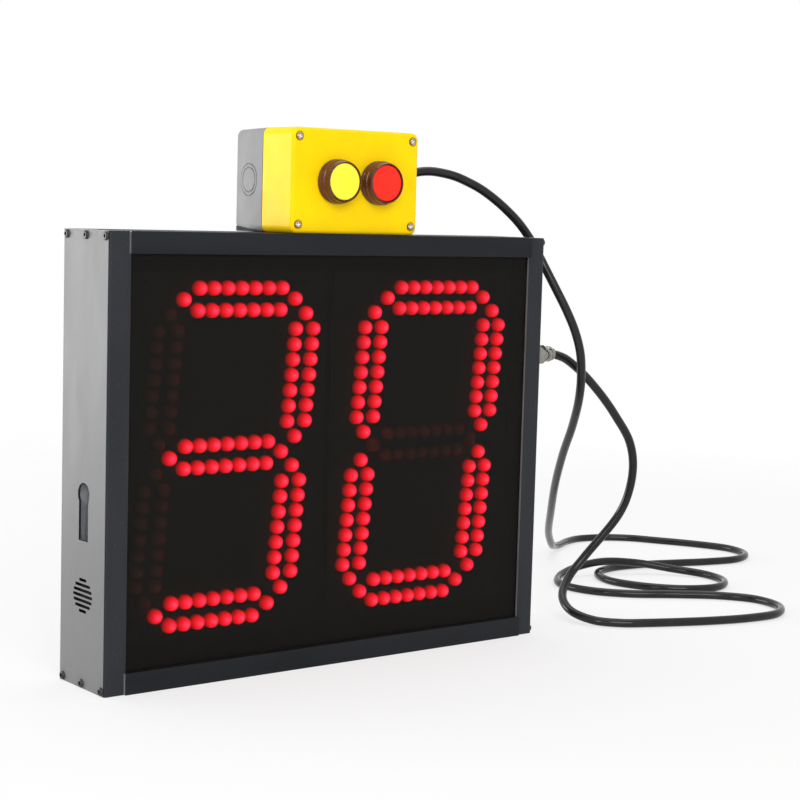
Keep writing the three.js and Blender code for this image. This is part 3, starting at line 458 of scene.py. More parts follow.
def circuitFinish(name, dark, light, lift=1.8, depth=0.03):
    # solder mask over fine tracks
    finish, tree, shader = mottled(name, dark, light, 30, (0.28, 0.4))
    upright = step(tree, "Mapping", vector=step(tree, "TexCoord").outputs["Object"], rotation=(math.pi / 2, 0, 0))
    brick = step(tree, "TexBrick", vector=upright, scale=tracks["scale"], mortarSize=tracks["gap"],
                 rowHeight=tracks["row"]).outputs["Fac"]
    mask = shader.inputs["Base Color"].links[0].from_socket
    share = spread(tree, brick, 0, tracks["strength"], 0, 1)
    feed(tree, shader, baseColor=blendColours(tree, share, mask, tuple(c * lift for c in light)))
    addBump(tree, shader, brick, depth)
    return finish


zinc = {
    "dark": (0.34, 0.35, 0.36), "light": (0.50, 0.51, 0.52), "flower": 9, "gloss": (0.34, 0.52),
    "grain": 0.7, "depth": 0.006,
}


def zincFinish():
    # zinc plate with its crystal flowers
    finish, tree, shader, where = newFinish("zincSteel", zinc["dark"], metallic=0.85)
    cells = step(tree, "TexVoronoi", vector=where, scale=1 / (zinc["flower"] * mm))
    grey = step(tree, "SeparateColor", color=cells.outputs["Color"])
    flowers = spread(tree, grey, 0, 1, 0, 1)
    feed(tree, shader, baseColor=blendColours(tree, flowers, zinc["dark"], zinc["light"]),
         roughness=spread(tree, grey.outputs[1], *zinc["gloss"], 0, 1))
    addBump(tree, shader, noise(tree, where, zinc["grain"], 2.0), zinc["depth"])
    return finish


def coat(slot, dark, light, blotch, gloss, **values):
    words = slot.split("_")
    name = words[0] + "".join(word.title() for word in words[1:])
    finishes[slot] = mottled(name, dark, light, blotch, gloss, **values)[0]


# satin powder coat on sheet: orange peel, a little dust, uneven sheen
sheetCoat = {
    "blotch": 26, "gloss": (0.37, 0.46), "grain": 0.9, "depth": 0.015, "stretch": (1, 1, 0.3),
    "specks": ((0.09, 0.09, 0.092), 1.1, 0.70, 0.5), "sheenRoughness": 0.45,
}
coat("black_coat", (0.015, 0.016, 0.018), (0.027, 0.028, 0.031), sheenWeight=1.0, specularIorLevel=0.15,
     **sheetCoat)
# the same coat with little sheen for the flange's front: painted shade, a darker copy of the side's coat
coat("flange_coat", (0.020, 0.022, 0.026), (0.026, 0.028, 0.033), sheenWeight=0.10, specularIorLevel=0.08,
     **sheetCoat)
# sheared edges of the sheet, a pale grey: partly bare metal, partly a painted highlight along the edge
coat("cut_edge", (0.14, 0.142, 0.145), (0.22, 0.222, 0.225), 7, (0.35, 0.5), grain=0.4, depth=0.004,
     metallic=0.3, stretch=(1, 1, 0.3))
# black anodised profile: duller, with faint drawing lines along it
coat("bar_coat", (0.010, 0.011, 0.013), (0.016, 0.017, 0.020), 30, (0.42, 0.54), grain=0.7, depth=0.012,
     stretch=(0.25, 1, 1), specks=((0.05, 0.05, 0.055), 1.1, 0.70, 0.4), specularIorLevel=0.10)
# bare sawn aluminium at the profiles' ends, near white: partly the metal, partly a painted highlight of the lamps
# on these end faces
coat("sawn_end", (0.66, 0.67, 0.66), (0.80, 0.81, 0.80), 3, (0.34, 0.46), grain=0.4, depth=0.01, metallic=0.9,
     stretch=(1, 1, 5))
finishes["smoked_window"] = windowFinish()
finishes["led_lit"] = ledFinish("lit")
finishes["led_unlit"] = ledFinish("unlit")
finishes["led_board"] = circuitFinish("ledBoard", (0.009, 0.009, 0.009), (0.012, 0.013, 0.012), 1.15, 0.005)
finishes["circuit_green"] = circuitFinish("circuitGreen", (0.012, 0.065, 0.022), (0.018, 0.09, 0.03))
finishes["zinc_steel"] = zincFinish()
# dull dark sheet for the chassis inside the cabinet: painted shade, darker than its zinc, for the dark behind the
# window
coat("black_zinc", (0.008, 0.008, 0.009), (0.013, 0.013, 0.014), 12, (0.55, 0.7), grain=0.7, depth=0.004,
     specularIorLevel=0.1)
# shrink sleeve with fine creases
coat("battery_blue", (0.02, 0.09, 0.36), (0.03, 0.13, 0.46), 18, (0.24, 0.36), grain=4, depth=0.05,
     stretch=(1, 1, 0.3))
# metal of the gland; of the small screws' heads, tinted brown and darkened as a painted reflection of the yellow
# cover and painted shade; of their crosses, near white as a painted highlight; and of the end screws
coat("nickel", (0.20, 0.19, 0.17), (0.36, 0.35, 0.32), 5, (0.05, 0.10), grain=0.5, depth=0.001, metallic=1.0,
     stretch=(6, 1, 1))
coat("zinc_plate", (0.30, 0.24, 0.18), (0.46, 0.39, 0.32), 2, (0.16, 0.28), grain=0.5, depth=0.001, metallic=1.0)
# painted highlight for the floors of the crosses
coat("bright_cross", (0.86, 0.86, 0.84), (0.94, 0.94, 0.92), 2, (0.16, 0.28), grain=0.5, depth=0.001, metallic=0.6)
coat("black_steel", (0.020, 0.020, 0.021), (0.045, 0.045, 0.047), 3, (0.26, 0.40), grain=0.4, depth=0.004,
     metallic=0.3, specularIorLevel=0.3)
coat("black_rubber", (0.013, 0.013, 0.014), (0.022, 0.022, 0.023), 6, (0.55, 0.72), grain=0.35, depth=0.01,
     specularIorLevel=0.12)
# PVC jacket: glossy, with the long faint waviness of an extruded sheath
coat("black_cable", (0.010, 0.010, 0.011), (0.018, 0.018, 0.019), 14, (0.12, 0.20), grain=2.2, depth=0.006,
     ior=1.22, specularIorLevel=1.0)
# finely textured mouldings
coat("yellow_cover", (0.93, 0.61, 0.002), (0.96, 0.66, 0.002), 22, (0.34, 0.44), grain=0.45, depth=0.006,
     specularIorLevel=0.09)
coat("grey_base", (0.27, 0.27, 0.275), (0.31, 0.31, 0.315), 20, (0.55, 0.66), grain=0.45, depth=0.01,
     specks=((0.2, 0.2, 0.2), 1.0, 0.69, 0.4), specularIorLevel=0.08)
# polished black button ring, painted red-brown all over: a painted reflection of the yellow cover, with soft
# rubbing marks
coat("black_ring", (0.080, 0.020, 0.008), (0.125, 0.030, 0.011), 4, (0.08, 0.15), grain=0.5, depth=0.002,
     specularIorLevel=0.4)
capCoat = {"blotch": 7, "gloss": (0.26, 0.36), "grain": 0.6, "depth": 0.004, "specularIorLevel": 0.2}
coat("yellow_cap", (0.93, 0.86, 0.035), (0.95, 0.90, 0.055), **capCoat)
coat("red_cap", (0.90, 0.020, 0.008), (0.94, 0.028, 0.013), **capCoat)


def placed(piece, body, slot, *replaced, finish=None):
    # gives a finished piece its material, its body and the nodes it stands for
    piece.data.materials.clear()
    piece.data.materials.append(finishes[finish or slot])
    if body:
        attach(piece, body)
    if replaced:
        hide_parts(*replaced)
    return piece


print("finishes ready:", len(finishes))


# cable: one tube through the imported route's three stretches

cable = {
    "radius": 3.2,
    "sides": 16,
    "spacing": 3.0,
    "boxLead": [
        (68.9, 23.25, 318.1), (76, 23.1, 319.2), (84, 22.6, 322), (92, 21.5, 325.4), (100.1, 19.8, 327.8),
        (108.9, 17.1, 328.6), (117.6, 13.6, 327.6), (125.9, 9.6, 325.5), (134.2, 5.7, 321.9),
        (142.6, 1.8, 317.4), (151.2, -2, 311.3), (160.4, -5.2, 303.9), (170.8, -8, 294.4),
        (179.3, -10.8, 283.6), (184.6, -15.2, 272), (189, -20, 260.2), (194.6, -25, 246.6),
        (200.4, -29.8, 232.6), (206.2, -33.4, 217.6), (211.6, -34.2, 201.5), (217, -30.2, 183.5),
        (224.6, -20.8, 166.8), (240, 1.2, 144.5), (261, 33.2, 118), (290, 72.2, 87.5), (324, 113.2, 56),
        (359, 153.2, 29.5), (388, 180.2, 12.5), (408, 199.2, 6.4), (422, 208.2, 4.4), (433, 215.2, 3.8),
    ],
    "loops": [
        (433.4, 215.4, 3.8), (445, 222.2, 3.5), (466, 228.2, 3.4), (491, 222.2, 3.4), (511, 207.2, 3.4),
        (525, 185.2, 3.4), (543, 153.2, 3.4), (553, 122.2, 3.4), (544, 95.2, 3.4), (520, 82.2, 3.4),
        (488, 86.2, 3.4), (456, 96.2, 3.4), (422, 106.2, 3.4), (390, 107.2, 3.4), (364, 96.2, 3.4),
        (350, 68.2, 3.4), (358, 36.2, 3.4), (380, 11.2, 3.4), (408, 3.2, 3.4), (432, 17.2, 3.4),
        (440, 44.2, 3.6), (426, 71.2, 5.5), (403, 90.2, 9.5), (375, 103.2, 11), (345, 107.2, 7),
        (319, 96.2, 3.6), (304, 74.2, 3.4), (307, 45.2, 3.4), (326, 20.2, 3.4), (357, -0.8, 3.4),
        (384, -21.8, 3.4), (399, -46.8, 3.4), (394, -74.8, 3.4), (372, -91.8, 3.4), (341, -91.8, 3.4),
        (306, -82.8, 3.4), (285, -74.8, 3.4), (273, -69.8, 3.4),
    ],
    "glandLead": [
        (272.6, -69.6, 3.4), (262, -64.8, 3.4), (244, -54.8, 3.4), (230, -38.8, 4.2), (225, -19.8, 8.4),
        (232, -2.8, 16), (246, 5.2, 28), (259, 3.2, 42), (278, -12.8, 75.5), (281, -19.8, 94.5),
        (279, -24.8, 116), (274, -24.8, 133.5), (260, -24, 152.2), (250.2, -22.8, 163.9), (239.9, -21.8, 174.3),
        (229.7, -20.8, 183.5), (219.6, -19.8, 191.2), (210, -18.8, 197), (198.2, -18.4, 200.4),
    ],
    "liftStart": (69, 23, 318),
    "liftEnd": (203, -32, 228),
}


def smoothLine(places, spacing):
    # centripetal curve through the points, sampled at an even spacing
    points = [Vector(p) for p in places]
    points = [points[0] * 2 - points[1], *points, points[-1] * 2 - points[-2]]
    line = []
    for p0, p1, p2, p3 in zip(points, points[1:], points[2:], points[3:]):
        t1 = (p1 - p0).length ** 0.5
        t2 = t1 + (p2 - p1).length ** 0.5
        t3 = t2 + (p3 - p2).length ** 0.5
        pieces = max(4, round((p2 - p1).length / 0.5))
        for k in range(pieces):
            t = t1 + (t2 - t1) * k / pieces
            a1 = p0 * ((t1 - t) / t1) + p1 * (t / t1)
            a2 = p1 * ((t2 - t) / (t2 - t1)) + p2 * ((t - t1) / (t2 - t1))
            a3 = p2 * ((t3 - t) / (t3 - t2)) + p3 * ((t - t2) / (t3 - t2))
            b1 = a1 * ((t2 - t) / t2) + a2 * (t / t2)
            b2 = a2 * ((t3 - t) / (t3 - t1)) + a3 * ((t - t1) / (t3 - t1))
            line.append(b1 * ((t2 - t) / (t2 - t1)) + b2 * ((t - t1) / (t2 - t1)))
    line.append(points[-2])
    lengths = [0.0]
    for a, b in zip(line, line[1:]):
        lengths.append(lengths[-1] + (b - a).length)
    count = round(lengths[-1] / spacing)
    even, at = [], 0
    for wanted in (lengths[-1] * k / count for k in range(count + 1)):
        while at < len(lengths) - 2 and lengths[at + 1] < wanted:
            at += 1
        share = (wanted - lengths[at]) / max(lengths[at + 1] - lengths[at], 1e-9)
        even.append(line[at].lerp(line[at + 1], share))
    return even


def tubePiece(name, line, radius, sides):
    # rings carried along the line without twist
    rings, normal = [], None
    for k, place in enumerate(line):
        ahead = (line[min(k + 1, len(line) - 1)] - line[max(k - 1, 0)]).normalized()
        normal = ahead.orthogonal() if normal is None else normal - ahead * normal.dot(ahead)
        normal.normalize()
        rings.append([place + spoke * radius for spoke in spokes(sides, normal, ahead.cross(normal))])
    return ringPiece(name, rings)


def makeCable():
    line = []
    for stretch in ("boxLead", "loops", "glandLead"):
        line += smoothLine(cable[stretch], cable["spacing"])
    piece = tubePiece("cable", line, cable["radius"], cable["sides"])
    polished(piece, angle=60)
    placed(piece, None, "black_cable", "cable_box_lead", "cable_loops", "cable_gland_lead")
    start, end = (tuple(v * mm for v in cable[key]) for key in ("liftStart", "liftEnd"))
    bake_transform(piece)
    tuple(start)
    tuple(end)
    length = sum((b - a).length for a, b in zip(line, line[1:])) * mm
    print("cable:", round(length, 3), "m")
    return piece, line, length


cablePiece, cableLine, cableLength = makeCable()


# cabinet

cabinet = {
    "sideX": 174.0,
    "frontY": -33.4,
    "backY": 23.6,
    "height": 284.0,
    "sheet": 1.5,
    "flange": 14.6,
    "bend": 1.9,
    "edge": 0.22,
    "barEdge": 0.35,
    "backEdge": 0.3,
    "stripEdge": 0.15,
    "bareSlack": 0.3,
    "screwHole": 1.4,
    "glandHole": 6.3,
    "barHeight": 13.6,
    "barLap": 1.2,
    "barGap": 0.02,
    "cut": 4.0,
}
ends = {"left": -1, "right": 1}
keyhole = {"centreZ": 121.4, "radius": 7.3, "slotWidth": 11.6, "bottomZ": 92.5, "steps": 32, "cut": (-4, 5)}
grille = {"centreZ": 58.3, "slits": 7, "pitch": 3.25, "slitHeight": 1.9, "radius": 11.3, "depth": 9}
middleY = (cabinet["frontY"] + cabinet["backY"]) / 2


def grilleTree():
    # slits on a line of points, each as long as the round they lie in allows, cut from the plate
    tree, given, end, work, add = newTree("grilleSlits", {
        "Geometry": "Geometry", "Slits": "Int", "Pitch": "Float", "Slit Height": "Float",
        "Round Radius": "Float", "Centre": "Vector", "Depth": "Float", "Finish": "Material"})
    count, high = given["Slits"], given["Slit Height"]
    line = add("MeshLine", count=count)
    middle = work("DIVIDE", work("SUBTRACT", count, 1.0), 2.0)
    rise = work("MULTIPLY", work("SUBTRACT", add("InputIndex"), middle), given["Pitch"])
    reach = work("ADD", work("ABSOLUTE", rise), work("DIVIDE", high, 2.0))
    half = work("SQRT", work("SUBTRACT", work("POWER", given["Round Radius"], 2.0), work("POWER", reach, 2.0)))
    bar = add("MeshCube", size=(1.0, 1.0, 1.0))
    disc = add("MeshCylinder", vertices=20, depth=1.0, radius=0.5)
    lying = add("Transform", geometry=disc, rotation=(0, math.pi / 2, 0))
    solid, cut = add("MeshBoolean"), add("MeshBoolean")
    solid.operation, solid.solver = "UNION", "EXACT"
    solid.inputs["Self Intersection"].default_value = True
    # each slit is its straight middle and two round ends
    for shape, side, wide in ((bar, 0.0, work("MULTIPLY", half, 2.0)), (lying, -1.0, high), (lying, 1.0, high)):
        shift = add("CombineXYZ", y=work("MULTIPLY", half, side), z=rise)
        spots = add("SetPosition", geometry=line, position=shift)
        size = add("CombineXYZ", x=given["Depth"], y=wide, z=high)
        copies = add("InstanceOnPoints", points=spots, instance=shape, scale=size)
        link(tree, add("RealizeInstances", geometry=copies), solid.inputs["Mesh 2"])
    moved = add("Transform", geometry=solid, translation=given["Centre"])
    cut.operation, cut.solver = "DIFFERENCE", "EXACT"
    link(tree, given["Geometry"], cut.inputs["Mesh 1"])
    link(tree, moved, cut.inputs["Mesh 2"])
    return endTree(tree, given, end, cut)


def endPlateOutline(side):
    # the folded sheet seen from above, its bend rounded inside and out
    front, back, sheet, bend, flange = (cabinet[key] for key in ("frontY", "backY", "sheet", "bend", "flange"))
    inner, turns = bend - sheet, quarter(6)
    outline = [(0, back), *((bend * (1 - c), front + bend * (1 - s)) for c, s in turns)]
    outline += [(flange, front), (flange, front + sheet)]
    outline += [(sheet + inner * (1 - c), front + sheet + inner * (1 - s)) for c, s in reversed(turns)]
    outline.append((sheet, back))
    return [(side * (cabinet["sideX"] - inwards), y) for inwards, y in outline]


def sideHole(side, node, radius, sides):
    # through the end plate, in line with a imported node
    centre, cut = centreOf(node), cabinet["cut"]
    return discCutter(radius, (side * cabinet["sideX"] - cut, centre.y, centre.z), (1, 0, 0), 2 * cut, sides)


def keyholeCutter():
    half, radius, steps = keyhole["slotWidth"] / 2, keyhole["radius"], keyhole["steps"]
    start = math.asin(half / radius)
    outline = [(middleY - half, keyhole["bottomZ"]), (middleY + half, keyhole["bottomZ"])]
    for k in range(steps + 1):
        angle = start - math.pi / 2 + (2 * math.pi - 2 * start) * k / steps
        outline.append((middleY + radius * math.cos(angle), keyhole["centreZ"] + radius * math.sin(angle)))
    return drawnPiece("cutter", outline, alongX, *(cut - cabinet["sideX"] for cut in keyhole["cut"]))


def plateFinish(face):
    # 0 the side, 1 the flange's front in a darker copy of the coat (painted shade), 2 its sheared edge in a pale
    # grey that is partly bare metal and partly a painted highlight, 3 the edges of what is cut through the side in
    # the darker bar coat, painted shade in the holes
    inwards, y = cabinet["sideX"] - abs(face.center.x) / mm, face.center.y / mm
    slack, skin = cabinet["bareSlack"], 0.05
    if y < cabinet["frontY"] + cabinet["bend"] * 0.6:
        return 2 if inwards > cabinet["flange"] - slack else int(face.normal.y < -0.6)
    # the cut edges in the slits and the keyhole take the darker bar coat: painted shade inside the holes
    return 3 if y <= cabinet["backY"] - slack and skin < inwards < cabinet["sheet"] - skin else 0


def makeEndPlates():
    for word, side in ends.items():
        plate = drawnPiece(f"{word}_plate", endPlateOutline(side), alongZ, 0, cabinet["height"])
        opening = keyholeCutter() if side < 0 else sideHole(side, "gland_body", cabinet["glandHole"], 32)
        screwHoles = [sideHole(side, f"{word}_end_screw_{k}", cabinet["screwHole"], 16) for k in range(1, 7)]
        cutWith(plate, [opening, *screwHoles])
        if side < 0:
            grown("left_plate", plate, grilleTree(), {
                "Slits": grille["slits"], "Pitch": grille["pitch"] * mm, "Slit Height": grille["slitHeight"] * mm,
                "Round Radius": grille["radius"] * mm, "Depth": grille["depth"] * mm,
                "Centre": Vector((-cabinet["sideX"], middleY, grille["centreZ"])) * mm,
                "Finish": finishes["black_coat"]})
        placed(polished(plate, cabinet["edge"]), "cabinet", "black_coat", f"{word}_end_plate")
        for name in ("flange_coat", "cut_edge", "bar_coat"):
            plate.data.materials.append(finishes[name])
        for face in plate.data.polygons:
            face.material_index = plateFinish(face)


makeEndPlates()
print("end plates done")


def makeBarFronts():
    # each bar's front lies on the flanges at both ends
    reach = cabinet["sideX"] - cabinet["flange"] + cabinet["barLap"]
    for name in ("top", "bottom"):
        low, high = nodeBox(f"{name}_profile")
        foot = high.z - cabinet["barHeight"] if name == "top" else low.z
        outline = rectangle(-reach, foot, reach, foot + cabinet["barHeight"])
        back = cabinet["frontY"] - cabinet["barGap"]
        strip = drawnPiece(f"{name}_bar_front", outline, alongY, low.y - cabinet["barGap"], back)
        placed(polished(strip, cabinet["stripEdge"]), "cabinet", "black_coat", finish="bar_coat")
        paleSawnEnds(strip)


def paleSawnEnds(piece):
    # the sawn ends show bare metal, pale enough to be also a painted highlight on them
    piece.data.materials.append(finishes["sawn_end"])
    for face in piece.data.polygons:
        face.material_index = int(abs(face.normal.x) > 0.6)


def makeProfiles():
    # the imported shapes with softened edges
    for node, name, edge, finish in (
        ("top_profile", "top_bar", "barEdge", "bar_coat"), ("bottom_profile", "bottom_bar", "barEdge", "bar_coat"),
        ("back_cover", "back_plate", "backEdge", "black_coat"),
    ):
        profile = polished(cadCopy(node, name), cabinet[edge])
        placed(profile, "cabinet", "black_coat", node, finish=finish)
        if finish == "bar_coat":
            paleSawnEnds(profile)


makeProfiles()
makeBarFronts()
print("profiles and back done")


# screws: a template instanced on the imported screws' places

screw = {
    "sides": 24, "seed": 7,
    "pan": {"head": 2.7, "height": 1.5, "crown": 1.1, "shank": 1.1, "length": 4},
    "raised": {"head": 2.4, "height": 1.6, "crown": 0.5, "shank": 1.4, "length": 30},
    "hexagon": {"radius": 1.35, "floor": 0.5},
    "cross": {"reach": 1.9, "half": 0.475, "depth": 0.4, "foot": 0.8},
    "rows": (
        ("left_screws", "left_end_screw", 6, (-1, 0, 0)), ("right_screws", "right_end_screw", 6, (1, 0, 0)),
        ("back_screws", "back_cover_screw", 4, (0, 1, 0)),
    ),
    "panStands": 1.9,
}


def screwTree():
    # heads stand along an axis and are each turned by a different amount
    tree, given, end, _, add = newTree("screwRow", {
        "Geometry": "Geometry", "Screw": "Object", "Along": "Rotation", "Seed": "Int", "Finish": "Material"})
    info = add("ObjectInfo", object=given["Screw"])
    spin = add("RandomValue", seed=given["Seed"])
    spin.data_type = "FLOAT"
    low, high = [s for s in spin.inputs if s.name in ("Min", "Max") and s.type == "VALUE"][:2]
    low.default_value, high.default_value = 0.0, math.tau / 4
    turn = add("CombineXYZ", z=next(s for s in spin.outputs if s.type == "VALUE"))
    own = add("EulerToRotation", euler=turn)
    both = add("RotateRotation", rotation=given["Along"], rotateBy=own)
    both.rotation_space = "LOCAL"
    heads = add("InstanceOnPoints", points=given["Geometry"], instance=info.outputs["Geometry"],
                rotation=both)
    return endTree(tree, given, end, heads)


def screwTemplate(kind):
    # a round head, its seat at the origin and its axis along Z
    head, height, crown, shank, length = screw[kind].values()
    profile = [(0, -length), (shank, -length), (shank, 0), (head, 0)]
    profile += [(head - crown + crown * c, height - crown + crown * s) for c, s in quarter(6)]
    profile.append((0, height))
    return turnedPiece(kind, profile, screw["sides"], (0, 0, 0), (0, 0, 1))


def hexagonCutter():
    floor = screw["hexagon"]["floor"]
    return discCutter(screw["hexagon"]["radius"], (0, 0, floor), (0, 0, 1), screw["pan"]["height"] + 1 - floor, 6)


def crossCutters():
    # two bars that narrow to the cross's floor
    reach, half, depth, foot = screw["cross"].values()
    top = screw["raised"]["height"]
    return [
        lofted("cutter", [(rectangle(-w * share, -d * share, w * share, d * share), at)
                          for share, at in ((foot, top - depth), (1, top + 0.1))], alongZ)
        for w, d in ((reach, half), (half, reach))
    ]


def screwsOn(name, prefix, count, axis, template, tree, stands, slot, body, finish=None):
    # axis is the outward direction of the heads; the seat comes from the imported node's box
    names = [f"{prefix}_{k}" for k in range(1, count + 1)]
    places = []
    for node in names:
        centre, tip = centreOf(node), nodeBox(node)[sum(axis) > 0]
        places.append([tip[k] - axis[k] * stands if axis[k] else centre[k] for k in range(3)])
    along = Vector((0, 0, 1)).rotation_difference(Vector(axis)).to_euler()
    piece = grown(name, pointCloud(name, places), tree, {
        "Screw": template, "Along": along, "Seed": screw["seed"], "Finish": finishes[finish or slot]})
    return placed(polished(piece, angle=32), body, slot, *names, finish=finish)


def crossHighlights(piece, floorY):
    # painted highlight: the floors of the crosses get a near-white finish for the light they catch
    piece.data.materials.append(finishes["bright_cross"])
    for face in piece.data.polygons:
        face.material_index = int(face.normal.y < -0.9 and abs(face.center.y - floorY * mm) < 0.1 * mm)


def makeScrews():
    tree = screwTree()
    pan = cutWith(screwTemplate("pan"), [hexagonCutter()])
    for row in screw["rows"]:
        screwsOn(*row, pan, tree, screw["panStands"], "black_steel", "cabinet")
    raised = cutWith(screwTemplate("raised"), crossCutters())
    # the heads' brown metal is a painted reflection and painted shade
    heads = screwsOn("box_screws", "box_screw", 4, (0, -1, 0), raised, tree, screw["raised"]["height"],
                     "nickel", "control_box", "zinc_plate")
    crossHighlights(heads, nodeBox("box_screw_1")[0].y + screw["cross"]["depth"])
    for template in (pan, raised):
        bpy.data.objects.remove(template)


makeScrews()
print("screws done")


# display: boards, LEDs and the smoked window

digits = {
    "centres": (-82.45, 76.45),
    "centreZ": 143.0,
    "segmentX": 51.4,
    "segmentZ": 99.0,
    "lying": {"end": 41.8, "pitch": 10.3, "row": 7.0},
    "standing": {"end": 40.0, "pitch": 10.0, "row": 6.9},
    "inRow": 7,
    "slant": 0.0874,
    "lit": ("abcdg", "abcdef"),
}
board = {"front": -21.1, "thick": 1.6, "corner": 2, "edge": 0.15}
led = {"radius": 4.75, "length": 6.9, "shoulder": 2.4, "flange": 0.045, "sides": 14, "rings": 5}


def segmentPlaces(letter):
    # two rows of LEDs and one at each end, about the digit's centre
    kind = "lying" if letter in "agd" else "standing"
    end, pitch, row = digits[kind].values()
    up = {"a": 1, "b": 0.5, "f": 0.5, "g": 0, "c": -0.5, "e": -0.5, "d": -1}[letter] * digits["segmentZ"]
    along = [(k - (digits["inRow"] - 1) / 2) * pitch for k in range(digits["inRow"])]
    spots = [(-end, 0), (end, 0), *((a, side * row) for side in (-1, 1) for a in along)]
    if kind == "lying":
        places = [(a, up + b) for a, b in spots]
    else:
        across = digits["segmentX"] if letter in "bc" else -digits["segmentX"]
        places = [(across + b, up + a) for a, b in spots]
    return [(a + b * digits["slant"], b) for a, b in places]


def ledTree():
    # a cylinder whose upper rings follow an ellipse, with its glow stored on the rings
    tree, given, end, work, add = newTree("ledDomes", {
        "Geometry": "Geometry", "Radius": "Float", "Length": "Float", "Shoulder": "Float", "Flange": "Float",
        "Sides": "Int", "Rings": "Int", "Finish": "Material"})
    body = add("MeshCylinder", vertices=given["Sides"], sideSegments=given["Rings"],
               radius=given["Radius"], depth=1.0)
    spot = add("SeparateXYZ", vector=add("InputPosition"))
    part = work("ADD", spot.outputs["Z"], 0.5)
    first = work("DIVIDE", 1.0, given["Rings"])
    share = work("DIVIDE", work("SUBTRACT", part, first), work("SUBTRACT", 1.0, first))
    angle = work("MULTIPLY", work("MAXIMUM", share, 0.0), math.pi / 2)
    raised = work("MINIMUM", work("DIVIDE", part, first), 1.0)
    wider = work("MULTIPLY", work("SUBTRACT", 1.0, raised), given["Flange"])
    shrink = work("ADD", work("MAXIMUM", work("COSINE", angle), 0.02), wider)
    dome = work("MULTIPLY", work("SINE", angle), work("SUBTRACT", given["Length"], given["Shoulder"]))
    height = work("ADD", work("MULTIPLY", raised, given["Shoulder"]), dome)
    x, y = (work("MULTIPLY", spot.outputs[axis], shrink) for axis in "XY")
    glow = add("StoreNamedAttribute", geometry=body, name="glow", value=part)
    place = add("CombineXYZ", x=x, y=y, z=height)
    shaped = add("SetPosition", geometry=glow, position=place)
    facing = add("Transform", geometry=shaped, rotation=(math.pi / 2, 0, 0))
    domes = add("InstanceOnPoints", points=given["Geometry"], instance=facing)
    return endTree(tree, given, end, domes)


def makeDisplay():
    tree = ledTree()
    sizes = {key.title(): led[key] * mm for key in ("radius", "length", "shoulder")}
    sizes.update({key.title(): led[key] for key in ("flange", "sides", "rings")})
    for centre, lit, side in zip(digits["centres"], digits["lit"], ends):
        placed(makeBoard(side), "cabinet", "circuit_green", f"led_board_{side}", finish="led_board")
        for state in ("lit", "unlit"):
            letters = [c for c in "abcdefg" if (c in lit) == (state == "lit")]
            places = [(centre + x, board["front"], digits["centreZ"] + z)
                      for c in letters for x, z in segmentPlaces(c)]
            name, finish = f"leds_{side}_{state}", "led_" + state
            domes = grown(name, pointCloud(name, places), tree, {**sizes, "Finish": finishes[finish]})
            placed(polished(domes, angle=60), "cabinet", "led_red", finish=finish)
            print(name, len(places))


def makeBoard(side):
    low, high = nodeBox(f"led_board_{side}")
    outline = roundedBox(high.x - low.x, high.z - low.z, board["corner"], 4,
                         (low.x + high.x) / 2, (low.z + high.z) / 2)
    plate = drawnPiece(f"board_{side}", outline, alongY, board["front"], board["front"] + board["thick"])
    return polished(plate, board["edge"])


makeDisplay()


def makeWindow():
    low, high = nodeBox("front_window")
    pane = drawnPiece("window", rectangle(low.x, low.z, high.x, high.z), alongY, low.y, high.y)
    placed(polished(pane, window["edge"]), "cabinet", "smoked_window", "front_window")


makeWindow()
print("display done")


# gland on the right end plate

gland = {
    "sides": 40, "edge": 0.15,
    # the hexagons' size across flats, how far they are turned off and how steeply
    "flats": 13.3, "crown": 0.2, "slope": 1.4,
    # outer and inner radius of the threaded barrel, and the fitting's hexagon off the plate
    "barrel": 6.0, "bore": 3.7, "barrelEdge": 0.3, "fitting": 4.0, "gap": 0.1,
    # the dome nut: its hexagon, its whole length, and its dome with two grooves, which starts inside the hexagon
    "hexLength": 9.0, "length": 19.5, "lap": 0.3, "step": 0.6, "shoulder": 1.0, "mouth": 4.3, "wall": 0.5,
    "ribs": (2, 5), "ribDepth": 0.7,
    # (radius, distance past the dome's tip) of the seal's lip
    "seal": 4.7, "sealEdge": 0.25, "lip": ((3.7, -1), (3.7, 0.6), (3.2, 0.6)),
}


def hexNut(name, x0, x1, centre):
    # a hexagon whose corners are turned off by a cone at both ends
    half = gland["flats"] / 2
    radius = half / math.cos(math.pi / 6)
    corners = spokes(6, Vector((radius, 0)), Vector((0, radius)))
    nut = drawnPiece(name, [(centre.y + corner.x, centre.z + corner.y) for corner in corners], alongX, x0, x1)
    rise, seat, clear = (radius - half) * gland["slope"], half - gland["crown"], 0.4
    shell = [(0, x0 - 1), (seat, x0 - 1), (seat + clear, x0), (radius + clear, x0 + rise),
             (radius + clear, x1 - rise), (seat + clear, x1), (seat, x1 + 1), (0, x1 + 1)]
    keeper = turnedPiece("cutter", shell, gland["sides"], (0, centre.y, centre.z), (1, 0, 0))
    return cutWith(nut, [keeper], "INTERSECT")


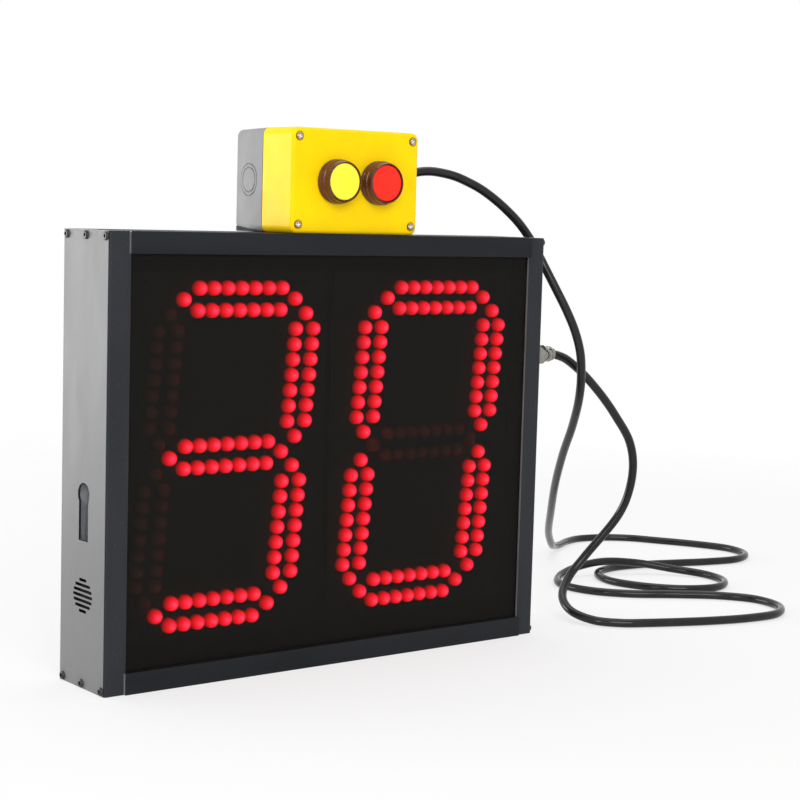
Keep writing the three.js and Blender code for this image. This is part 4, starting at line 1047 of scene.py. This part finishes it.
def makeGland():
    centre, half = centreOf("gland_body"), gland["flats"] / 2

    def turned(name, profile, sides=gland["sides"]):
        return turnedPiece(name, profile, sides, (0, centre.y, centre.z), (1, 0, 0), ring=True)

    low, high = nodeBox("gland_body")
    face = cabinet["sideX"] + gland["gap"]
    flange = hexNut("gland_hex", face, face + gland["fitting"], centre)
    tube = rectangle(gland["bore"], low.x, gland["barrel"], high.x)
    fitting = joined("gland_fitting", [flange, turned("gland_barrel", rounded(tube, gland["barrelEdge"]))])
    placed(polished(fitting, gland["edge"]), "cabinet", "nickel", "gland_body")
    foot = nodeBox("gland_dome_nut")[0].x
    start, tip = foot + gland["hexLength"] - gland["lap"], foot + gland["length"]
    grip = hexNut("nut_hex", foot, foot + gland["hexLength"], centre)
    mouth, shoulder, wall = gland["mouth"], start + gland["shoulder"], gland["wall"]
    arc = [(half - wall, start)]
    for k, (c, s) in enumerate(quarter(8)):
        groove = gland["ribDepth"] if k in gland["ribs"] else 0
        arc.append((mouth - groove + (half - gland["step"] - mouth) * c, shoulder + (tip - shoulder) * s))
    arc += [(mouth - wall, tip), (mouth - wall, start)]
    nut = joined("gland_nut", [grip, turned("nut_dome", arc)])
    placed(polished(nut, gland["edge"]), "cabinet", "nickel", "gland_dome_nut")
    low, high = nodeBox("gland_seal")
    sleeve = [(cable["radius"], low.x), (gland["seal"], low.x), (gland["seal"], high.x)]
    sleeve += [(radius, tip + past) for radius, past in gland["lip"]]
    rubber = turned("gland_rubber", rounded(sleeve, gland["sealEdge"]), 32)
    placed(polished(rubber, angle=40), "cabinet", "black_rubber", "gland_seal")


makeGland()
print("gland done")


# control box: cover, base and its fittings

box = {
    "width": 102.0, "height": 68.0, "corner": 5.0, "frontRound": 2.3, "wall": 2.5,
    "frontY": -28.9, "coverBack": 5.1, "baseFront": 6.0, "baseBack": 40.5,
    "centreX": 10.6, "centreZ": 318.1, "taper": 0.9, "taperAcross": 1.1, "backRound": 2.4,
    "buttons": (-6.5, 27.7), "panelHole": 11.2, "recess": 3.25, "recessDepth": 1.2,
    "screwX": 45.8, "screwZ": 28.2, "edge": 0.25, "entry": 6.5, "entryCut": 8.0, "cut": 5.0,
    # how much the hollows narrow inside the cover and widen at the base's mouth
    "coverDraft": 0.6, "baseDraft": 0.3,
    "knockout": {"radii": (11.0, 8.6), "wide": 1.1, "cut": 6.0, "deep": 0.8, "lean": 0.15, "inset": 1.1},
    # a dark strip under the base: painted shade for the shadow beneath it
    "pad": {"inset": 2.4, "front": 7.5, "back": 39.6, "height": 3.4, "edge": 0.3},
}


def boxPoint(a, b, along):
    return (box["centreX"] + a, along, box["centreZ"] + b)


def boxRing(shrink, along, wall=0.0, across=0.0):
    corner = max(box["corner"] - shrink * 0.4 - wall, 0.6)
    inset = shrink + wall
    return roundedBox(box["width"] - 2 * (inset + across), box["height"] - 2 * inset, corner, 8), along


def makeCover():
    front, back, bend, wall, cut = (box[key] for key in ("frontY", "coverBack", "frontRound", "wall", "cut"))
    rings = [boxRing(bend * (1 - s), front + bend * (1 - c)) for c, s in quarter(6)]
    cover = lofted("cover", [*rings, boxRing(0, back)], boxPoint)
    hollow = [boxRing(box["coverDraft"], front + wall, wall), boxRing(0, back + cut, wall)]
    cutters = [lofted("cutter", hollow, boxPoint)]
    for x in box["buttons"]:
        cutters.append(discCutter(box["panelHole"], (x, front - cut, box["centreZ"]), (0, 1, 0), 2 * cut))
    for sx, sz in ((-1, -1), (-1, 1), (1, -1), (1, 1)):
        spot = boxPoint(sx * box["screwX"], sz * box["screwZ"], front - cut)
        cutters.append(discCutter(box["recess"], spot, (0, 1, 0), cut + box["recessDepth"], 32))
    cutWith(cover, cutters)
    placed(polished(cover, box["edge"], angle=40), "control_box", "yellow_cover", "box_cover")


def makeBase():
    front, back, bend, wall, cut = (box[key] for key in ("baseFront", "baseBack", "backRound", "wall", "cut"))
    taper, across, middle, half = box["taper"], box["taperAcross"], (front + back) / 2, box["width"] / 2
    rings = [boxRing(taper + bend * (1 - c), back - bend * (1 - s), 0, across) for c, s in quarter(6)]
    base = lofted("base", [boxRing(0, front), *rings], boxPoint)
    hollow = [boxRing(-box["baseDraft"], front - cut, wall), boxRing(taper, back - wall, wall, across)]
    cutters = [
        lofted("cutter", hollow, boxPoint),
        discCutter(box["entry"], boxPoint(half - box["entryCut"], 0, middle), (1, 0, 0), 2 * box["entryCut"]),
    ]
    # two round grooves in the left side
    radii, wide, out, deep, lean, inset = box["knockout"].values()
    for r in radii:
        groove = [(r - wide, -out), (r, -out), (r - lean, deep), (r - wide + lean, deep)]
        cutters.append(turnedPiece("cutter", groove, 64, boxPoint(inset - half, 0, middle), (1, 0, 0), ring=True))
    cutWith(base, cutters)
    placed(polished(base, box["edge"], angle=40), "control_box", "grey_base", "box_base")


def makeShadeStrip():
    # dark rubber strip under the tapered base: painted shade that fills the shadowed gap beneath the base
    pad, foot = box["pad"], -box["height"] / 2
    half = box["width"] / 2 - pad["inset"]
    outline = rectangle(-half, foot, half, foot + pad["height"])
    strip = drawnPiece("base_pad", outline, boxPoint, pad["front"], pad["back"])
    placed(polished(strip, pad["edge"]), "control_box", "black_rubber")


# (radius, distance along) from the boot's inner end, then from the box's side
grommet = {
    "inside": ((3.2, 0), (8, 0), (8, 2), (6.2, 2.2)),
    "outside": ((6.2, -0.6), (9, -0.6), (9, 1.4), (6.0, 2.6), (5.6, 4.6), (5.2, 6.6), (4.4, 7.9), (3.2, 7.9)),
    "edge": 0.5, "sides": 48,
}


def makeGrommet():
    # soft boot that narrows to the cable
    centre, end = centreOf("box_cable_grommet"), nodeBox("box_cable_grommet")[0].x
    side = box["centreX"] + box["width"] / 2
    profile = [(r, start + x) for start, key in ((end, "inside"), (side, "outside")) for r, x in grommet[key]]
    profile = rounded(profile, grommet["edge"], 4)
    boot = turnedPiece("grommet", profile, grommet["sides"], (0, centre.y, centre.z), (1, 0, 0), ring=True)
    placed(polished(boot, angle=40), "control_box", "black_rubber", "box_cable_grommet")


makeCover()
makeBase()
makeShadeStrip()
makeGrommet()
print("control box done")


# push-buttons

button = {
    "bore": 4.4, "barrel": 10.8, "reach": 13.0, "floor": 0.7, "edge": 0.28, "sides": 72,
    # (radius, height) of the ring: its foot, two grooves, and its lip round the cap
    "ring": (
        (14.2, 0.3), (14.5, 0.8), (14.5, 2.6), (13.8, 3.2), (13.8, 4.0), (14.35, 4.6), (14.25, 6.4),
        (13.6, 6.9), (13.6, 7.5), (13.65, 8.1), (13.4, 10.5), (12.7, 11.6), (12.3, 11.6), (12.2, 10.4),
    ),
    "capRadius": 11.9, "capFront": 11.0, "capRound": (0.8, 0.6), "crown": 0.3, "skirt": 6.0,
    "stem": 4.0, "stemReach": 15.0,
}


def makeButtons():
    bore, barrel, reach, floor = (button[key] for key in ("bore", "barrel", "reach", "floor"))
    ring = [(bore, -reach), (barrel, -reach), (barrel, button["ring"][0][1]), *button["ring"]]
    ring += [(button["ring"][-1][0], floor), (bore, floor)]
    wide, front, crown, stem = (button[key] for key in ("capRadius", "capFront", "crown", "stem"))
    (across, high), skirt = button["capRound"], front - button["skirt"]
    cap = [(0, -button["stemReach"]), (stem, -button["stemReach"]), (stem, skirt), (wide, skirt)]
    cap += [(wide - across * (1 - c), front - crown - high * (1 - s)) for c, s in quarter(4)]
    cap += [((wide - across) * (1 - k / 8), front - crown * (1 - s)) for k, (c, s) in enumerate(quarter(8)) if k]
    for x, word in zip(box["buttons"], ("yellow", "red")):
        at = button["sides"], (x, box["frontY"], box["centreZ"]), (0, -1, 0)
        bezel = turnedPiece(f"{word}_ring", rounded(ring, button["edge"]), *at, ring=True)
        placed(polished(bezel, angle=40), "control_box", "black_ring", f"{word}_button_bezel")
        top = turnedPiece(f"{word}_cap", cap, *at)
        placed(polished(top, angle=40), f"{word}_button", f"{word}_cap", f"{word}_button_cap")


makeButtons()
print("buttons done")


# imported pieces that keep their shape

kept = {
    "keyhole_pocket": "zinc_steel", "sounder_ring": "black_rubber", "sounder": "black_steel",
    # the chassis in the dark sheet: painted shade inside the cabinet
    "chassis_plate": "black_zinc", "control_board": "circuit_green", "battery_pack": "battery_blue",
    "battery_strap": "zinc_steel", "gland_lock_nut": "nickel", "box_gasket": "black_rubber",
    "yellow_button_nut": "black_ring", "red_button_nut": "black_ring",
    "yellow_contact_block": "grey_base", "red_contact_block": "grey_base",
}
for node, slot in kept.items():
    nodes[node].data.materials.clear()
    nodes[node].data.materials.append(finishes[slot])
print("kept nodes painted:", len(kept))

[tuple(p * mm) for p in cableLine]


# floor, world and lamps

studio = {
    "floorColour": (0.86, 0.86, 0.86),
    "floorReach": 3000,
    "floorWhite": 0.985,
    "floorFold": 400,
    "floorGloss": (0.8, 0.9),
    "shadowShare": 0.35,
    "fadeFrom": 0.75,
    "fadeTo": 1.3,
    "fill": 0.62,
    "lamps": {
        "key": {"place": (-0.9, -2.0, 1.1), "aim": (0.05, 0, 0.2), "size": (1.3, 1.3), "power": 29},
        "side": {"place": (-1.1, 1.4, 0.2), "aim": (-0.17, 0, 0.1), "size": (1.3, 0.9), "power": 25},
        "strip": {"place": (-1.6, -0.95, 0.34), "aim": (0.3, 0, 0.3), "size": (0.3, 0.7), "power": 5.0},
        "top": {"place": (0.3, 0.4, 2.2), "aim": (0.1, 0, 0.1), "size": (1.6, 1.6), "power": 14},
    },
}


def seenRay(tree):
    # 1 where the camera, a mirror image or a clear body looks, 0 where a surface gathers light
    rays = step(tree, "LightPath").outputs
    seen = calc(tree, "MAXIMUM", rays["Is Camera Ray"], rays["Is Glossy Ray"])
    return calc(tree, "MAXIMUM", seen, rays["Is Transmission Ray"])


def mixShaders(tree, share, first, second):
    return filled(tree, step(tree, "MixShader"), share, first, second)


def makeFloor():
    size = studio["floorReach"]
    corners = [(x, y, 0) for x, y in rectangle(-size, -size, size, size)]
    floor = newPiece("floor", corners, [(0, 1, 2, 3)])
    finish, tree, shader, where = newFinish("paperFloor", studio["floorColour"], specularIorLevel=0.2)
    folds = noise(tree, where, studio["floorFold"], 2, 0.5)
    feed(tree, shader, roughness=spread(tree, folds, *studio["floorGloss"]))
    far = step(tree, "VectorMath")
    far.operation = "LENGTH"
    filled(tree, far, where)
    fade = spread(tree, far.outputs["Value"], 1, 0, studio["fadeFrom"], studio["fadeTo"])
    clear = step(tree, "BsdfTransparent")
    white = step(tree, "Emission", strength=studio["floorWhite"])
    # the camera sees the paper lifted to white, with part of the shadow left in it
    lift = calc(tree, "MULTIPLY", seenRay(tree), 1 - studio["shadowShare"])
    paper = mixShaders(tree, lift, shader, white)
    link(tree, mixShaders(tree, fade, clear, paper), tree.nodes["Material Output"].inputs[0])
    floor.data.materials.append(finish)


def makeWorld():
    # white where it is seen, a softer fill where it lights
    world = bpy.data.worlds.new("studio")
    bpy.context.scene.world = world
    world.use_nodes = True
    tree = world.node_tree
    fill = feed(tree, tree.nodes["Background"], color=(1, 1, 1, 1), strength=studio["fill"])
    white = step(tree, "Background", color=(1, 1, 1, 1))
    link(tree, mixShaders(tree, seenRay(tree), fill, white), tree.nodes["World Output"].inputs[0])


def makeLamps():
    for name, lamp in studio["lamps"].items():
        data = bpy.data.lights.new(name, "AREA")
        data.shape, data.energy = "RECTANGLE", lamp["power"]
        data.size, data.size_y = lamp["size"]
        light = newObject(name, data)
        light.location = lamp["place"]
        light.rotation_euler = (Vector(lamp["aim"]) - Vector(lamp["place"])).to_track_quat("-Z", "Y").to_euler()
        light.visible_camera = False


makeFloor()
makeWorld()
makeLamps()
bpy.context.scene.view_settings.view_transform = "Standard"
print("studio ready")
